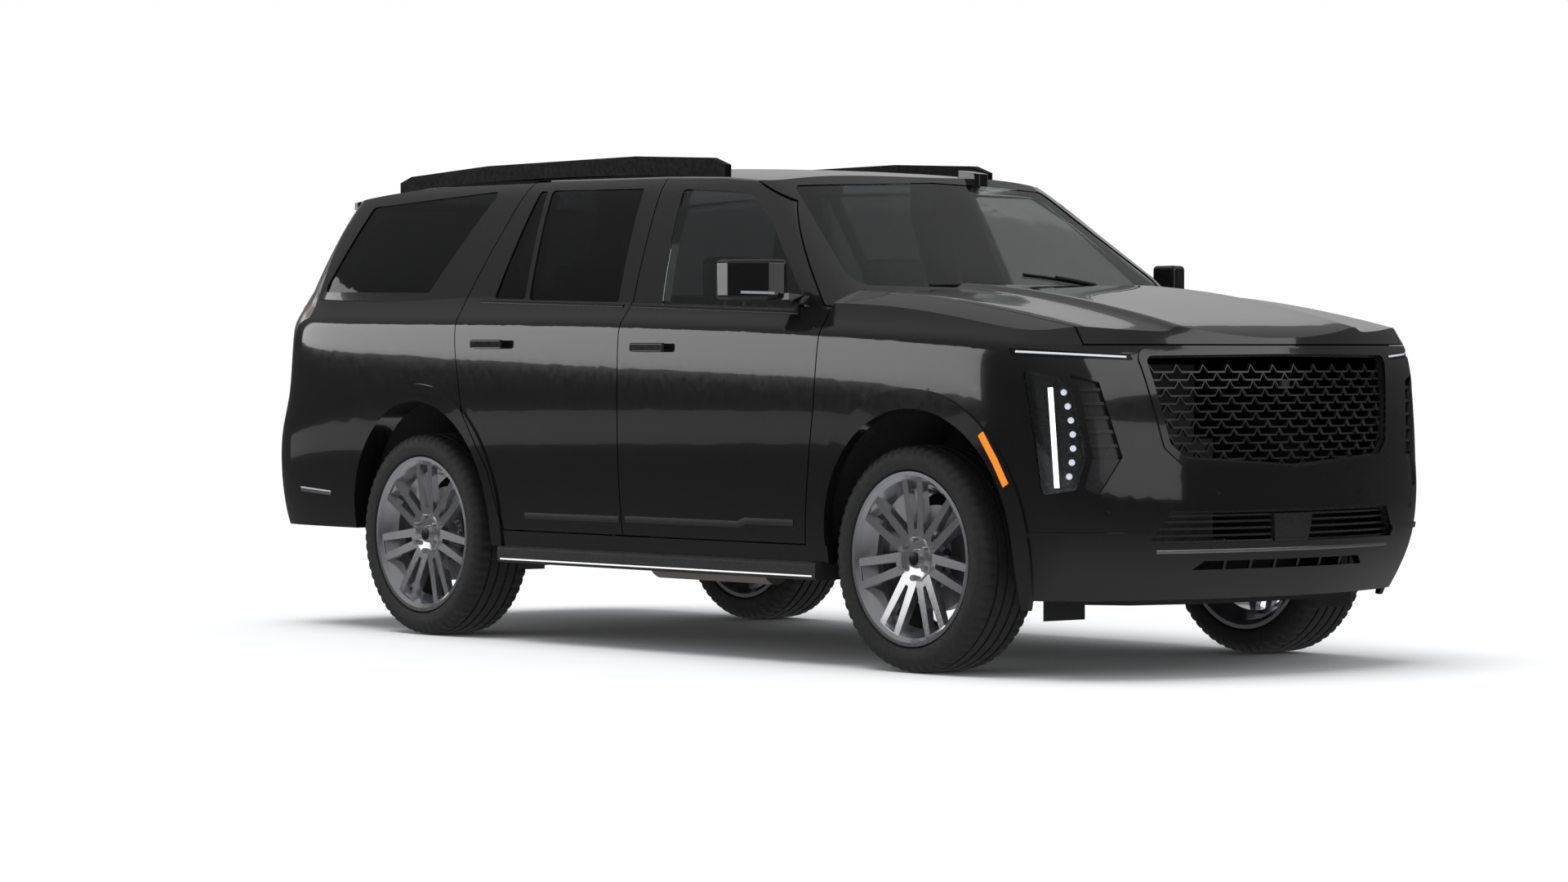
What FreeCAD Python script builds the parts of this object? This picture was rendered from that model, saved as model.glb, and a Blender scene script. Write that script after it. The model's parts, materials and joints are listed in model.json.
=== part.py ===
"""A full-size three-row sport utility vehicle, modelled in millimetres.

Frame: +X runs to the front of the car, +Y to its left side, +Z up. The origin is on the ground,
in the middle of the car's length and width. Every piece is at its real place with all doors shut.
"""

import FreeCAD
import Part
import Sketcher

import math
import os

V = FreeCAD.Vector

# Driving dimensions, kept in the document's spreadsheet
SIZES = [
    ("outline_unit", 1000),
    ("body_length", 5382),
    ("body_width", 2064),
    ("roof_height", 1925),
    ("wheelbase", 3071),
    ("front_overhang", 1000),
    ("track_width", 1738),
    ("tyre_radius", 419),
    ("tyre_width", 285),
    ("tyre_wall", 16),
    ("tyre_shoulder", 26),
    ("tyre_seat_gap", 0.3),
    ("tyre_rim_clearance", 1),
    ("tyre_rim_cover", 10),
    ("tyre_bulge", 6),
    ("tyre_crown_drop", 4),
    ("tyre_bead_width", 22),
    ("tyre_tread_depth", 20),
    ("rim_radius", 322),
    ("bead_radius", 303),
    ("rim_width", 262),
    ("rim_wall", 11),
    ("rim_flange", 12),
    ("hub_radius", 88),
    ("hub_depth", 70),
    ("hub_bore_radius", 34),
    ("hub_bore_depth", 20),
    ("hub_face_inset", 34),
    ("cap_radius", 36),
    ("cap_depth", 12),
    ("disc_radius", 196),
    ("disc_thickness", 30),
    ("disc_offset", 34),
    ("spoke_root_half", 40),
    ("spoke_tip_half", 58),
    ("spoke_depth", 44),
    ("spoke_pocket_half", 15),
    ("spoke_face_inset", 12),
    ("running_gap", 0.3),
    ("arch_radius", 497),
    ("arch_centre_height", 475),
    ("front_arch_shift", 36),
    ("arch_lip_width", 74),
    ("arch_lip_depth", 8),
    ("liner_radius", 540),
    ("liner_wall", 8),
    ("liner_inner_y", 490),
    ("shut_gap", 6),
    ("core_inset", 24),
    ("hinge_setback", 104),
    ("hinge_depth", 30),
    ("hinge_radius", 8),
    ("hinge_pin_radius", 5),
    ("hinge_half", 34),
    ("hinge_leaf", 8),
    ("side_wall", 112),
    ("upper_wall", 48),
    ("end_wall", 84),
    ("nose_wall", 34),
    ("flange_wall", 9),
    ("bonnet_wall", 24),
    ("lid_hinge_radius", 7),
    ("glass_thickness", 6),
    ("glass_inset", 5),
    ("glass_gap", 0.3),
    ("bumper_recess", 12),
    ("grille_frame_width", 26),
    ("grille_frame_proud", 6),
    ("mesh_pitch", 109),
    ("mesh_rise", 28.5),
    ("mesh_bar", 6.5),
    ("mesh_bottom", 768),
    ("rail_wall", 6),
    ("receiver_inner", 50.8),
    ("receiver_wall", 6.35),
    ("receiver_pin_radius", 7.95),
    ("receiver_pin_inset", 63),
    ("mount_sink", 1),
    ("floor_height", 520),
    ("floor_thickness", 44),
    ("overrun", 60),
    ("side_reach", 1300),
    ("side_inner", 560),
]

doc = FreeCAD.newDocument("suv")
sheet = doc.addObject("Spreadsheet::Sheet", "sizes")
for row, (alias, value) in enumerate(SIZES, start=1):
    sheet.set(f"A{row}", alias)
    sheet.set(f"B{row}", str(value))
    sheet.setAlias(f"B{row}", alias)
doc.recompute()


def size(alias):
    return float(getattr(sheet, alias))


half_length = size("body_length") / 2
half_width = size("body_width") / 2
roof_height = size("roof_height")
front_axle_x = half_length - size("front_overhang")
rear_axle_x = front_axle_x - size("wheelbase")
rear_overhang = rear_axle_x + half_length
overrun = size("overrun")
gap = size("shut_gap")
unit = size("outline_unit")
side_reach = size("side_reach")
side_inner = size("side_inner")
seat_gap = size("glass_gap")
tyre_radius = size("tyre_radius")
wheel_y = size("track_width") / 2

# Outer form: plan shapes stacked in height

# Each row is one height of the lower body: height and half width, the set-back of the nose and of
# the tail, how much the line falls from tail to nose, and how much it droops towards the nose.
# They are shares of the roof height, half width, front overhang, rear overhang, and roof height.
LOWER_SHARES = [
    (0.148, 0.945, 0.110, 0.080, 0.000, 0.000),
    (0.215, 0.972, 0.030, 0.030, 0.000, 0.000),
    (0.285, 0.988, 0.000, 0.008, 0.000, 0.000),
    (0.360, 0.998, 0.004, 0.004, 0.000, 0.000),
    (0.435, 1.004, 0.014, 0.014, 0.000, 0.000),
    (0.505, 1.006, 0.030, 0.066, 0.000, 0.000),
    (0.575, 1.005, 0.050, 0.078, 0.000, 0.000),
    (0.635, 1.002, 0.066, 0.084, 0.000, 0.036),
    (0.668, 0.997, 0.076, 0.088, 0.000, 0.054),
    (0.684, 0.982, 0.084, 0.092, 0.004, 0.054),
    (0.712, 0.936, 0.100, 0.100, 0.010, 0.040),
    (0.775, 0.880, 0.180, 0.140, 0.010, 0.000),
]
# The same for the glasshouse above the waist.
UPPER_SHARES = [
    (0.650, 0.972, 1.080, 0.084, 0.000, 0.000),
    (0.728, 0.925, 1.330, 0.118, 0.000, 0.000),
    (0.806, 0.872, 1.560, 0.160, 0.000, 0.000),
    (0.884, 0.812, 1.780, 0.212, 0.000, 0.000),
    (0.930, 0.772, 1.905, 0.249, 0.000, 0.000),
    (0.962, 0.740, 2.000, 0.276, 0.000, 0.000),
    (0.985, 0.690, 2.070, 0.298, 0.000, 0.000),
    (1.005, 0.590, 2.130, 0.318, 0.000, 0.000),
]
# Plan shape from the middle of the tail round to the middle of the nose: along the length and
# out from the centre line, as shares of each height's own length and half width.
LOWER_ROUND_SHARES = [
    (0.000, 0.00), (0.000, 0.32), (0.004, 0.66), (0.018, 0.90), (0.058, 0.955), (0.130, 0.975),
    (0.260, 0.996), (0.430, 1.000), (0.600, 1.000), (0.740, 1.000), (0.850, 0.990), (0.915, 0.970),
    (0.950, 0.930), (0.968, 0.800), (0.986, 0.56), (1.000, 0.27), (1.000, 0.00),
]
UPPER_ROUND_SHARES = [
    (0.000, 0.00), (0.000, 0.32), (0.006, 0.66), (0.024, 0.90), (0.066, 0.965), (0.150, 0.985),
    (0.300, 1.000), (0.500, 1.000), (0.700, 1.000), (0.860, 0.997), (0.930, 0.975), (0.956, 0.930),
    (0.970, 0.80), (0.986, 0.56), (1.000, 0.27), (1.000, 0.00),
]
DROOP_START_SHARE = 0.335
SURFACE_DEGREE = 3
END_SHARE = 0.020


def knots(count):
    """Clamped, evenly spaced knots for a cubic with this many poles, and how often each counts."""
    inner = count - SURFACE_DEGREE
    values = [float(i) for i in range(inner + 1)]
    counts = [SURFACE_DEGREE + 1] + [1] * (inner - 1) + [SURFACE_DEGREE + 1]
    return values, counts


def net_face(poles):
    """A smooth face from a grid of poles."""
    u_values, u_counts = knots(len(poles))
    v_values, v_counts = knots(len(poles[0]))
    surface = Part.BSplineSurface()
    surface.buildFromPolesMultsKnots(
        poles, u_counts, v_counts, u_values, v_values, False, False, SURFACE_DEGREE, SURFACE_DEGREE
    )
    return surface.toShape()


def ring_poles(level, around, side, end, hand):
    """Poles of one height, from tail to nose, on the right (hand -1) or left side (hand 1)."""
    height, width, nose, tail, fall, droop = level
    nose_x = half_length - nose * size("front_overhang") - end
    tail_x = -half_length + tail * rear_overhang + end
    droop_x = -half_length + 2 * half_length * DROOP_START_SHARE
    out = []
    for along, out_share in around:
        x = tail_x + along * (nose_x - tail_x)
        y = hand * out_share * (width * half_width - side)
        z = height * roof_height - fall * roof_height * x / half_length
        if x > droop_x:
            z -= droop * roof_height * ((x - droop_x) / (half_length - droop_x)) ** 2
        out.append(V(x, y, z))
    return out


def stacked_solid(levels, around, side=0, end=0):
    """A closed solid whose plan shapes are stacked in height, moved inwards by side and end."""
    if side:
        first, last = levels[0], levels[-1]
        levels = [(first[0] - END_SHARE,) + first[1:]] + levels[1:-1] + [(last[0] + END_SHARE,) + last[1:]]
    faces = []
    caps = {0: [], -1: []}
    for hand in (-1, 1):
        rings = [ring_poles(level, around, side, end, hand) for level in levels]
        faces.append(net_face([list(column) for column in zip(*rings)]))
        for at in caps:
            curve = Part.BSplineCurve()
            values, counts = knots(len(around))
            curve.buildFromPolesMultsKnots(rings[at], counts, values, False, SURFACE_DEGREE)
            caps[at].append(curve.toShape())
    for at in caps:
        faces.append(Part.Face(Part.Wire(caps[at])))
    shell = Part.Compound(faces)
    shell.sewShape()
    return Part.Solid(shell.Shells[0])


def under_surface(poles, depth):
    """The solid that lies below a surface."""
    return net_face(poles).extrude(V(0, 0, -depth))


# Roof: along the length (share of the half length) and its height (share of the roof height).
ROOF_LINE_SHARES = [
    (-1.020, 0.925), (-0.900, 0.962), (-0.700, 0.990), (-0.450, 1.003), (-0.200, 1.003),
    (0.020, 0.996), (0.180, 0.984), (0.300, 0.962), (0.420, 0.925), (0.600, 0.850),
]
# Across the roof: out from the middle (share of the half width), drop (share of the roof height).
ROOF_CROSS_SHARES = [
    (0.0, 0.0), (0.30, 0.0), (0.50, 0.006), (0.62, 0.014), (0.72, 0.022), (0.90, 0.034), (1.08, 0.050),
]
# Bonnet: the same, along its middle and across.
BONNET_LINE_SHARES = [
    (0.380, 0.752), (0.500, 0.749), (0.600, 0.740), (0.700, 0.724), (0.800, 0.702), (0.880, 0.681),
    (0.935, 0.664), (0.965, 0.648), (0.985, 0.615), (1.010, 0.560),
]
BONNET_CROSS_SHARES = [
    (0.0, 0.001), (0.20, 0.001), (0.36, 0.000), (0.425, -0.002), (0.455, -0.002), (0.475, 0.006),
    (0.50, 0.010), (0.60, 0.013), (0.72, 0.015), (0.80, 0.016), (0.84, 0.024), (0.93, 0.040), (1.02, 0.070),
]


def crowned_poles(line, cross, lower=0, back=0):
    """A grid of poles, with the cross profile carried along the middle line."""
    both = [(-out, drop) for out, drop in reversed(cross[1:])] + list(cross)
    return [
        [
            V(along * half_length - back, out * half_width, (height - drop) * roof_height - lower)
            for out, drop in both
        ]
        for along, height in line
    ]


LAP_SHARE = 0.030
BELT_SHARES = (1.372, 0.0275)
POD_SHARES = [(0.560, 0.250), (0.700, 0.235), (0.700, 0.300), (0.560, 0.330)]
POD_PROUD = 26
ROOF_RAIL_SHARES = [(0.270, 1.915), (0.180, 1.945), (-0.300, 1.965), (-1.300, 1.955), (-1.850, 1.925),
                    (-1.930, 1.900)]


def lengths(shares):
    """An outline in lengths, from shares of the outline unit."""
    return [tuple(share * unit for share in point) for point in shares]


def mirrored(shares):
    """An outline given for one side of the centre line, closed by its mirror image."""
    return list(shares) + [(-a, b) for a, b in reversed(shares) if a]


def offset_outline(points, amount):
    """The outline moved outwards by amount, with sharp corners."""
    count = len(points)
    area = sum(
        points[i - 1][0] * points[i][1] - points[i][0] * points[i - 1][1] for i in range(count)
    )
    turn = 1 if area > 0 else -1
    lines = []
    for i in range(count):
        (ax, ay), (bx, by) = points[i], points[(i + 1) % count]
        length = math.hypot(bx - ax, by - ay)
        across, up = turn * (by - ay) / length, -turn * (bx - ax) / length
        lines.append((ax + across * amount, ay + up * amount, (bx - ax) / length, (by - ay) / length))
    moved = []
    for i in range(count):
        ax, ay, ux, uy = lines[i - 1]
        bx, by, vx, vy = lines[i]
        cross = ux * vy - uy * vx
        if abs(cross) < 1e-6:
            moved.append((bx, by))
        else:
            along = ((bx - ax) * vy - (by - ay) * vx) / cross
            moved.append((ax + ux * along, ay + uy * along))
    return moved


def rounded_wire(corners, radius):
    """A closed wire through corners in one plane, each rounded as far as its sides allow."""
    count = len(corners)
    ends = []
    for i in range(count):
        before, here, after = corners[i - 1], corners[i], corners[(i + 1) % count]
        back, ahead = before - here, after - here
        room = min(back.Length, ahead.Length) * 0.45
        back.normalize()
        ahead.normalize()
        half = back.getAngle(ahead) / 2
        reach = min(radius / math.tan(half), room) if radius > 0 else 0
        if reach < 1e-3 or half > math.pi / 2 * 0.99:
            ends.append((here, here, None))
            continue
        fitted = reach * math.tan(half)
        middle = (back + ahead).normalize()
        top = here + middle * (fitted / math.sin(half) - fitted)
        ends.append((here + back * reach, here + ahead * reach, top))
    edges = []
    for i in range(count):
        start, stop, top = ends[i]
        if top is not None:
            edges.append(Part.Arc(start, top, stop).toShape())
        following = ends[(i + 1) % count][0]
        if (following - stop).Length > 1e-6:
            edges.append(Part.LineSegment(stop, following).toShape())
    return Part.Wire(edges)


def prism(points, axis, low, high, grow=0, radius=0):
    """A straight prism along an axis: points are (x, z) along y, (x, y) along z, (y, z) along x."""
    if grow:
        points = offset_outline(points, grow)
    places = {
        "x": lambda a, b: V(low, a, b),
        "y": lambda a, b: V(a, low, b),
        "z": lambda a, b: V(a, b, low),
    }
    run = {"x": V(high - low, 0, 0), "y": V(0, high - low, 0), "z": V(0, 0, high - low)}
    corners = [places[axis](a, b) for a, b in points]
    return Part.Face(rounded_wire(corners, radius)).extrude(run[axis])


def side_prism(shares, grow=0, radius=0, low=None, high=None):
    """A prism through the right side wall of the car."""
    low = -side_reach if low is None else low
    high = -side_inner if high is None else high
    return prism(lengths(shares), "y", low, high, grow, radius)


def cross_prism(shares, low, high, grow=0, radius=0):
    """A prism along the car, from its (y, z) outline."""
    return prism(lengths(shares), "x", low, high, grow, radius)


def box(x_low, x_high, y_low, y_high, z_low, z_high):
    return Part.makeBox(x_high - x_low, y_high - y_low, z_high - z_low, V(x_low, y_low, z_low))


def post(radius, base, axis, length):
    return Part.makeCylinder(radius, length, base, axis)


def left_of(shape):
    """The same piece on the left side."""
    return shape.mirror(V(0, 0, 0), V(0, 1, 0))


def both(shape):
    return Part.Compound([shape, left_of(shape)])


def solids_of(shape, smallest_share=0.0):
    """The solids of a shape, without slivers, as one shape."""
    kept = [one for one in shape.Solids if one.Volume > smallest_share * unit**3]
    return kept[0] if len(kept) == 1 else Part.Compound(kept)


SLIVER_SHARE = 4e-6
X_AXIS, Y_AXIS, Z_AXIS = V(1, 0, 0), V(0, 1, 0), V(0, 0, 1)
pieces = {}


def long_edges(shape):
    """The edges that run along the car."""
    return [edge for edge in shape.Edges if abs(edge.BoundBox.XMax - edge.BoundBox.XMin) > gap]


def keep(label, shape, place=V(0, 0, 0), turn=0):
    """Add a finished piece to the document under its own name."""
    feature = doc.addObject("Part::Feature", label)
    feature.Label = label
    feature.Shape = solids_of(shape, SLIVER_SHARE)
    feature.Placement = FreeCAD.Placement(place, FreeCAD.Rotation(Z_AXIS, turn))
    pieces[label] = feature
    return feature.Shape


def keep_pair(label, shape):
    """A piece of the right side and its mirror image."""
    right = keep(label + "_right", shape)
    left = keep(label + "_left", left_of(right))
    return right, left


# Outer form and its inner faces

lower_outer = stacked_solid(LOWER_SHARES, LOWER_ROUND_SHARES)
lower_core = stacked_solid(LOWER_SHARES, LOWER_ROUND_SHARES, size("side_wall"), size("end_wall"))
lower_flange = stacked_solid(
    LOWER_SHARES, LOWER_ROUND_SHARES, size("flange_wall"), size("flange_wall")
)
nose_core = stacked_solid(LOWER_SHARES, LOWER_ROUND_SHARES, size("nose_wall"), size("nose_wall"))
upper_outer = stacked_solid(UPPER_SHARES, UPPER_ROUND_SHARES)
upper_core = stacked_solid(UPPER_SHARES, UPPER_ROUND_SHARES, size("upper_wall"), size("upper_wall"))
upper_flange = stacked_solid(
    UPPER_SHARES, UPPER_ROUND_SHARES, size("flange_wall"), size("flange_wall")
)
glass_out = stacked_solid(UPPER_SHARES, UPPER_ROUND_SHARES, size("glass_inset"), size("glass_inset"))
glass_depth = size("glass_inset") + size("glass_thickness")
glass_in = stacked_solid(UPPER_SHARES, UPPER_ROUND_SHARES, glass_depth, glass_depth)
roof_top = under_surface(crowned_poles(ROOF_LINE_SHARES, ROOF_CROSS_SHARES), roof_height / 2)
roof_low = under_surface(
    crowned_poles(ROOF_LINE_SHARES, ROOF_CROSS_SHARES, size("upper_wall")), roof_height / 2
)
roof_flange = under_surface(
    crowned_poles(ROOF_LINE_SHARES, ROOF_CROSS_SHARES, size("flange_wall")), roof_height / 2
)
bonnet_top = under_surface(crowned_poles(BONNET_LINE_SHARES, BONNET_CROSS_SHARES), roof_height)
bonnet_low = under_surface(
    crowned_poles(BONNET_LINE_SHARES, BONNET_CROSS_SHARES, size("bonnet_wall"), size("bonnet_wall")),
    roof_height,
)

front_end = half_length + overrun
belt_height, belt_slope = BELT_SHARES


def belt_at(x, lift=0):
    return belt_height * unit - belt_slope * x + lift


below_belt = prism(
    [(-front_end, 0), (front_end, 0), (front_end, belt_at(front_end)), (-front_end, belt_at(-front_end))],
    "y", -side_reach, side_reach,
)
lap = -LAP_SHARE * unit
above_belt = prism(
    [
        (-front_end, 2 * roof_height), (front_end, 2 * roof_height),
        (front_end, belt_at(front_end, lap)), (-front_end, belt_at(-front_end, lap)),
    ],
    "y", -side_reach, side_reach,
)
lower_body = lower_outer.common(below_belt)
upper_body = upper_outer.common(roof_top).common(above_belt)
upper_inside = upper_core.common(roof_low)
upper_wall = upper_body.cut(upper_inside)
nose_clear = stacked_solid(
    LOWER_SHARES, LOWER_ROUND_SHARES, size("nose_wall") + seat_gap, size("nose_wall") + seat_gap
)
core_clear = stacked_solid(
    LOWER_SHARES, LOWER_ROUND_SHARES, size("side_wall") + seat_gap, size("end_wall") + seat_gap
)
nose = lower_outer.common(bonnet_top)
nose_shell = nose.cut(nose_core.common(bonnet_low))
glass_shell = glass_out.cut(glass_in)

# Openings of the body

half_gap = gap / 2
arch_radius = size("arch_radius")
arch_z = size("arch_centre_height")
front_arch_x = front_axle_x + size("front_arch_shift")
FRONT_DOOR_SHARES = [
    (-0.007, 0.454), (1.108, 0.454), (1.118, 0.537), (1.187, 0.967), (1.213, 1.273), (1.210, 1.345),
    (1.140, 1.355), (0.700, 1.762), (0.500, 1.846), (0.300, 1.862), (-0.052, 1.872), (0.004, 1.375),
    (-0.004, 1.250),
]
REAR_DOOR_SHARES = [
    (-0.007, 0.454), (-0.004, 1.250), (0.004, 1.375), (-0.052, 1.872), (-0.930, 1.880),
    (-1.118, 1.395), (-1.098, 1.181), (-1.052, 0.946), (-0.872, 0.698), (-0.802, 0.483),
    (-0.795, 0.454),
]
FRONT_WINDOW_SHARES = [
    (0.180, 1.366), (1.066, 1.342), (0.669, 1.701), (0.495, 1.800), (0.094, 1.822),
]
REAR_WINDOW_SHARES = [(-0.092, 1.375), (-0.685, 1.388), (-0.771, 1.838), (-0.162, 1.830)]
VENT_WINDOW_SHARES = [(-0.715, 1.391), (-0.925, 1.396), (-0.850, 1.836), (-0.802, 1.836)]
QUARTER_WINDOW_SHARES = [(-1.401, 1.424), (-2.225, 1.434), (-2.040, 1.797), (-1.125, 1.845)]
WINDSCREEN_SHARES = mirrored([(0.0, 1.416), (0.820, 1.432), (0.655, 1.826), (0.0, 1.848)])
TAILGATE_SHARES = mirrored(
    [(0.800, 0.903), (0.822, 1.120), (0.805, 1.420), (0.715, 1.800), (0.700, 2.100)]
)
TAIL_WINDOW_SHARES = mirrored([(0.700, 1.455), (0.650, 1.792)])
BONNET_PLAN_SHARES = [
    (1.392, -0.846), (2.250, -0.840), (2.800, -0.800), (2.800, 0.800), (2.250, 0.840), (1.392, 0.846),
]
FENDER_SHARES = [
    (1.108, 0.454), (1.118, 0.537), (1.187, 0.967), (1.213, 1.273), (1.210, 1.600), (2.800, 1.600),
    (2.800, 1.203), (2.235, 1.203), (2.235, 1.100), (2.060, 0.830), (1.730, 0.480), (1.300, 0.454),
]
FRONT_BUMPER_SHARES = [
    (2.800, 1.203), (2.235, 1.203), (2.235, 1.100), (2.060, 0.830), (1.730, 0.480), (1.900, 0.280),
    (2.800, 0.200),
]
REAR_BUMPER_SHARES = [
    (-2.800, 0.900), (-1.600, 0.900), (-1.500, 0.480), (-1.750, 0.430), (-2.800, 0.430),
]
QUARTER_SHARES = [
    (-0.795, 0.3885), (1.240, 0.3885), (1.240, 0.454), (-0.795, 0.454), (-0.802, 0.483), (-0.872, 0.698),
    (-1.052, 0.946), (-1.098, 1.181), (-1.118, 1.395), (-1.118, 1.600), (-2.800, 1.600),
    (-2.800, 0.900), (-1.600, 0.900), (-1.500, 0.480), (-1.000, 0.3885),
]
GRILLE_SHARES = [
    (0.0, 1.172), (0.624, 1.166), (0.560, 0.850), (0.500, 0.795), (0.0, 0.762), (-0.500, 0.795),
    (-0.560, 0.850), (-0.624, 1.166),
]
LOWER_INTAKE_SHARES = mirrored([(0.640, 0.492), (0.560, 0.608)])
BUMPER_RECESS_SHARES = [
    (1.100, 0.540), (1.100, 0.590), (0.690, 0.598), (0.655, 0.606), (0.560, 0.680), (0.500, 0.702),
    (0.470, 0.640), (0.600, 0.575), (0.660, 0.540),
]
BUMPER_LIP_SHARES = [(0.690, 0.512), (1.100, 0.516), (1.100, 0.534), (0.690, 0.532)]
AIR_SLOT_SHARES = [(0.440, 0.394), (0.400, 0.426)]
AIR_SLOT_FIN_SHARES = (-0.30, -0.18, -0.06, 0.06, 0.18, 0.30)
# The front corner, along the corner's own face and up.
CORNER_DIRECTION_SHARES = (0.766, 0.643)
LAMP_SHARES = [
    (0.715, 1.115), (0.840, 1.089), (0.893, 1.036), (0.939, 0.803), (0.902, 0.687), (0.785, 0.669),
    (0.776, 0.687), (0.750, 0.891),
]
LAMP_BAR_SHARES = [(0.800, 1.066), (0.822, 1.066), (0.848, 0.680), (0.822, 0.680)]
LAMP_BEADS = 7
LENS_THICKNESS = 3
SLIM_LAMP_SHARES = [(0.664, 1.194), (1.100, 1.168), (1.112, 1.149), (0.682, 1.166)]
CORNER_VENT_SHARES = [(0.866, 1.102), (0.985, 1.071), (1.070, 0.803), (0.985, 0.668), (0.930, 0.690),
                      (0.962, 0.803), (0.914, 1.046)]


def arch_cylinder(x, radius, low, high):
    return post(radius, V(x, low, arch_z), Y_AXIS, high - low)


def arch_cut(x, low=-side_reach, high=-side_inner):
    """The wheel arch with the space below it."""
    round_top = arch_cylinder(x, arch_radius, low, high)
    below = box(x - arch_radius, x + arch_radius, low, high, -unit, arch_z)
    return round_top.fuse(below)


def corner_prism(shares, low, high, grow=0, radius=0):
    """A prism square to the right front corner, from an outline along the corner's face."""
    ahead, across = CORNER_DIRECTION_SHARES
    face = V(across, ahead, 0)
    outward = V(ahead, -across, 0)
    points = lengths(shares)
    if grow:
        points = offset_outline(points, grow)
    corners = [face * s + outward * low + V(0, 0, z) for s, z in points]
    return Part.Face(rounded_wire(corners, radius)).extrude(outward * (high - low))


def arch_lip(x, low=-side_reach, high=-side_inner):
    """The raised band round a wheel arch, down to the foot of the side."""
    width = size("arch_lip_width")
    band = arch_cylinder(x, arch_radius + width, low, high)
    below = box(x - arch_radius - width, x + arch_radius + width, low, high, 0.458 * unit, arch_z)
    return band.fuse(below).cut(arch_cut(x, low, high))


lip_depth = size("arch_lip_depth")
proud_outer = stacked_solid(LOWER_SHARES, LOWER_ROUND_SHARES, -lip_depth, -lip_depth)
proud_layer = proud_outer.cut(lower_flange)
front_arch = arch_cut(front_arch_x)
front_lip = proud_layer.common(arch_lip(front_arch_x))
rear_lip = proud_layer.common(arch_lip(rear_axle_x))
rear_arch = arch_cut(rear_axle_x)
head_low = 1.800 * unit
head_cut = box(-front_end, front_end, -0.690 * unit, 0, head_low, 3 * unit)
head_trim = box(-front_end, front_end, -0.700 * unit, 0, head_low - half_gap, 3 * unit)
door_cuts = [
    side_prism(shares, half_gap).cut(head_cut) for shares in (FRONT_DOOR_SHARES, REAR_DOOR_SHARES)
]

# Doors

core_inset = size("core_inset")
hinge_depth = size("hinge_depth")
hinge_setback = size("hinge_setback")
glass_gap = size("glass_gap")
widest = half_width * 1.005
hinge_y = widest - hinge_depth
belt_core_drop = 60
front_hinge_x = 1.205 * unit - hinge_setback
rear_hinge_x = -0.007 * unit - half_gap - hinge_setback
HINGE_HEIGHT_SHARES = (0.640, 1.060)


def hinge_pocket_box(x):
    """The space ahead of a door's thick part, below the belt."""
    return box(
        x - size("hinge_radius") * 2, x + unit, -side_reach, -side_inner, 0,
        belt_at(x) - belt_core_drop,
    )


def door_shape(outline, windows, hinge_x):
    full = side_prism(outline, -half_gap)
    inner = side_prism(outline, -half_gap - core_inset)
    lower_part = lower_body.common(inner).cut(lower_core).cut(hinge_pocket_box(hinge_x))
    upper_part = upper_body.common(inner).cut(upper_inside)
    upper_edge = upper_body.common(full).cut(upper_flange.common(roof_flange))
    lower_edge = lower_body.common(full).cut(lower_flange)
    door = lower_part.fuse(upper_part).fuse(upper_edge).fuse(lower_edge).cut(head_trim)
    if outline is REAR_DOOR_SHARES:
        door = door.fuse(rear_lip.common(full))
    for window in windows:
        door = door.cut(side_prism(window, 0, 14))
    for height in HINGE_HEIGHT_SHARES:
        door = door.fuse(door_hinge(hinge_x, height * unit))
    return door


def door_hinge(x, z):
    """The door's half of a hinge: two knuckles with the pin, carried by the thick part."""
    radius = size("hinge_radius")
    half = size("hinge_half")
    centre = V(x, -hinge_y, z)
    pin = post(size("hinge_pin_radius"), centre - V(0, 0, half), Z_AXIS, 2 * half)
    arms = []
    for low in (-half, half / 3):
        tall = half * 2 / 3
        knuckle = post(radius, centre + V(0, 0, low), Z_AXIS, tall)
        arm = box(x - radius * 3, x, -hinge_y - radius, -hinge_y + radius, z + low, z + low + tall)
        arms.append(knuckle.fuse(arm))
    return pin.fuse(arms)


def body_hinge(x, z, pillar_y):
    """The body's half of a hinge: a sleeve round the pin and a leaf to the pillar."""
    radius = size("hinge_radius")
    half = size("hinge_half") / 3 - size("running_gap")
    centre = V(x, -hinge_y, z - half)
    leaf_low = x - size("hinge_leaf") / 2 + 1
    leaf = box(leaf_low, leaf_low + size("hinge_leaf"), -hinge_y, -pillar_y, z - half, z + half)
    bore = post(size("hinge_pin_radius") + 0.05, centre - V(0, 0, half), Z_AXIS, 4 * half)
    return post(radius, centre, Z_AXIS, 2 * half).fuse(leaf).cut(bore)


def glass_pane(shares, radius=14):
    return glass_shell.common(side_prism(shares, -glass_gap, radius))


HANDLE_HEIGHT_SHARES = ((0.214, 1.197), (-0.841, 1.211))


def pull_handle(x, z):
    """A strap handle that stands off the door on two feet."""
    reach = 0.106 * unit
    strap = box(
        x - reach, x + reach, -widest - 0.030 * unit, -widest - 0.014 * unit, z - 0.017 * unit,
        z + 0.017 * unit,
    )
    strap = strap.makeFillet(0.007 * unit, strap.Edges)
    feet = [
        box(a - 0.018 * unit, a + 0.018 * unit, -widest - 0.020 * unit, -widest + 0.014 * unit,
            z - 0.013 * unit, z + 0.013 * unit)
        for a in (x - reach * 0.8, x + reach * 0.8)
    ]
    return strap.fuse(feet)


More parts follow.
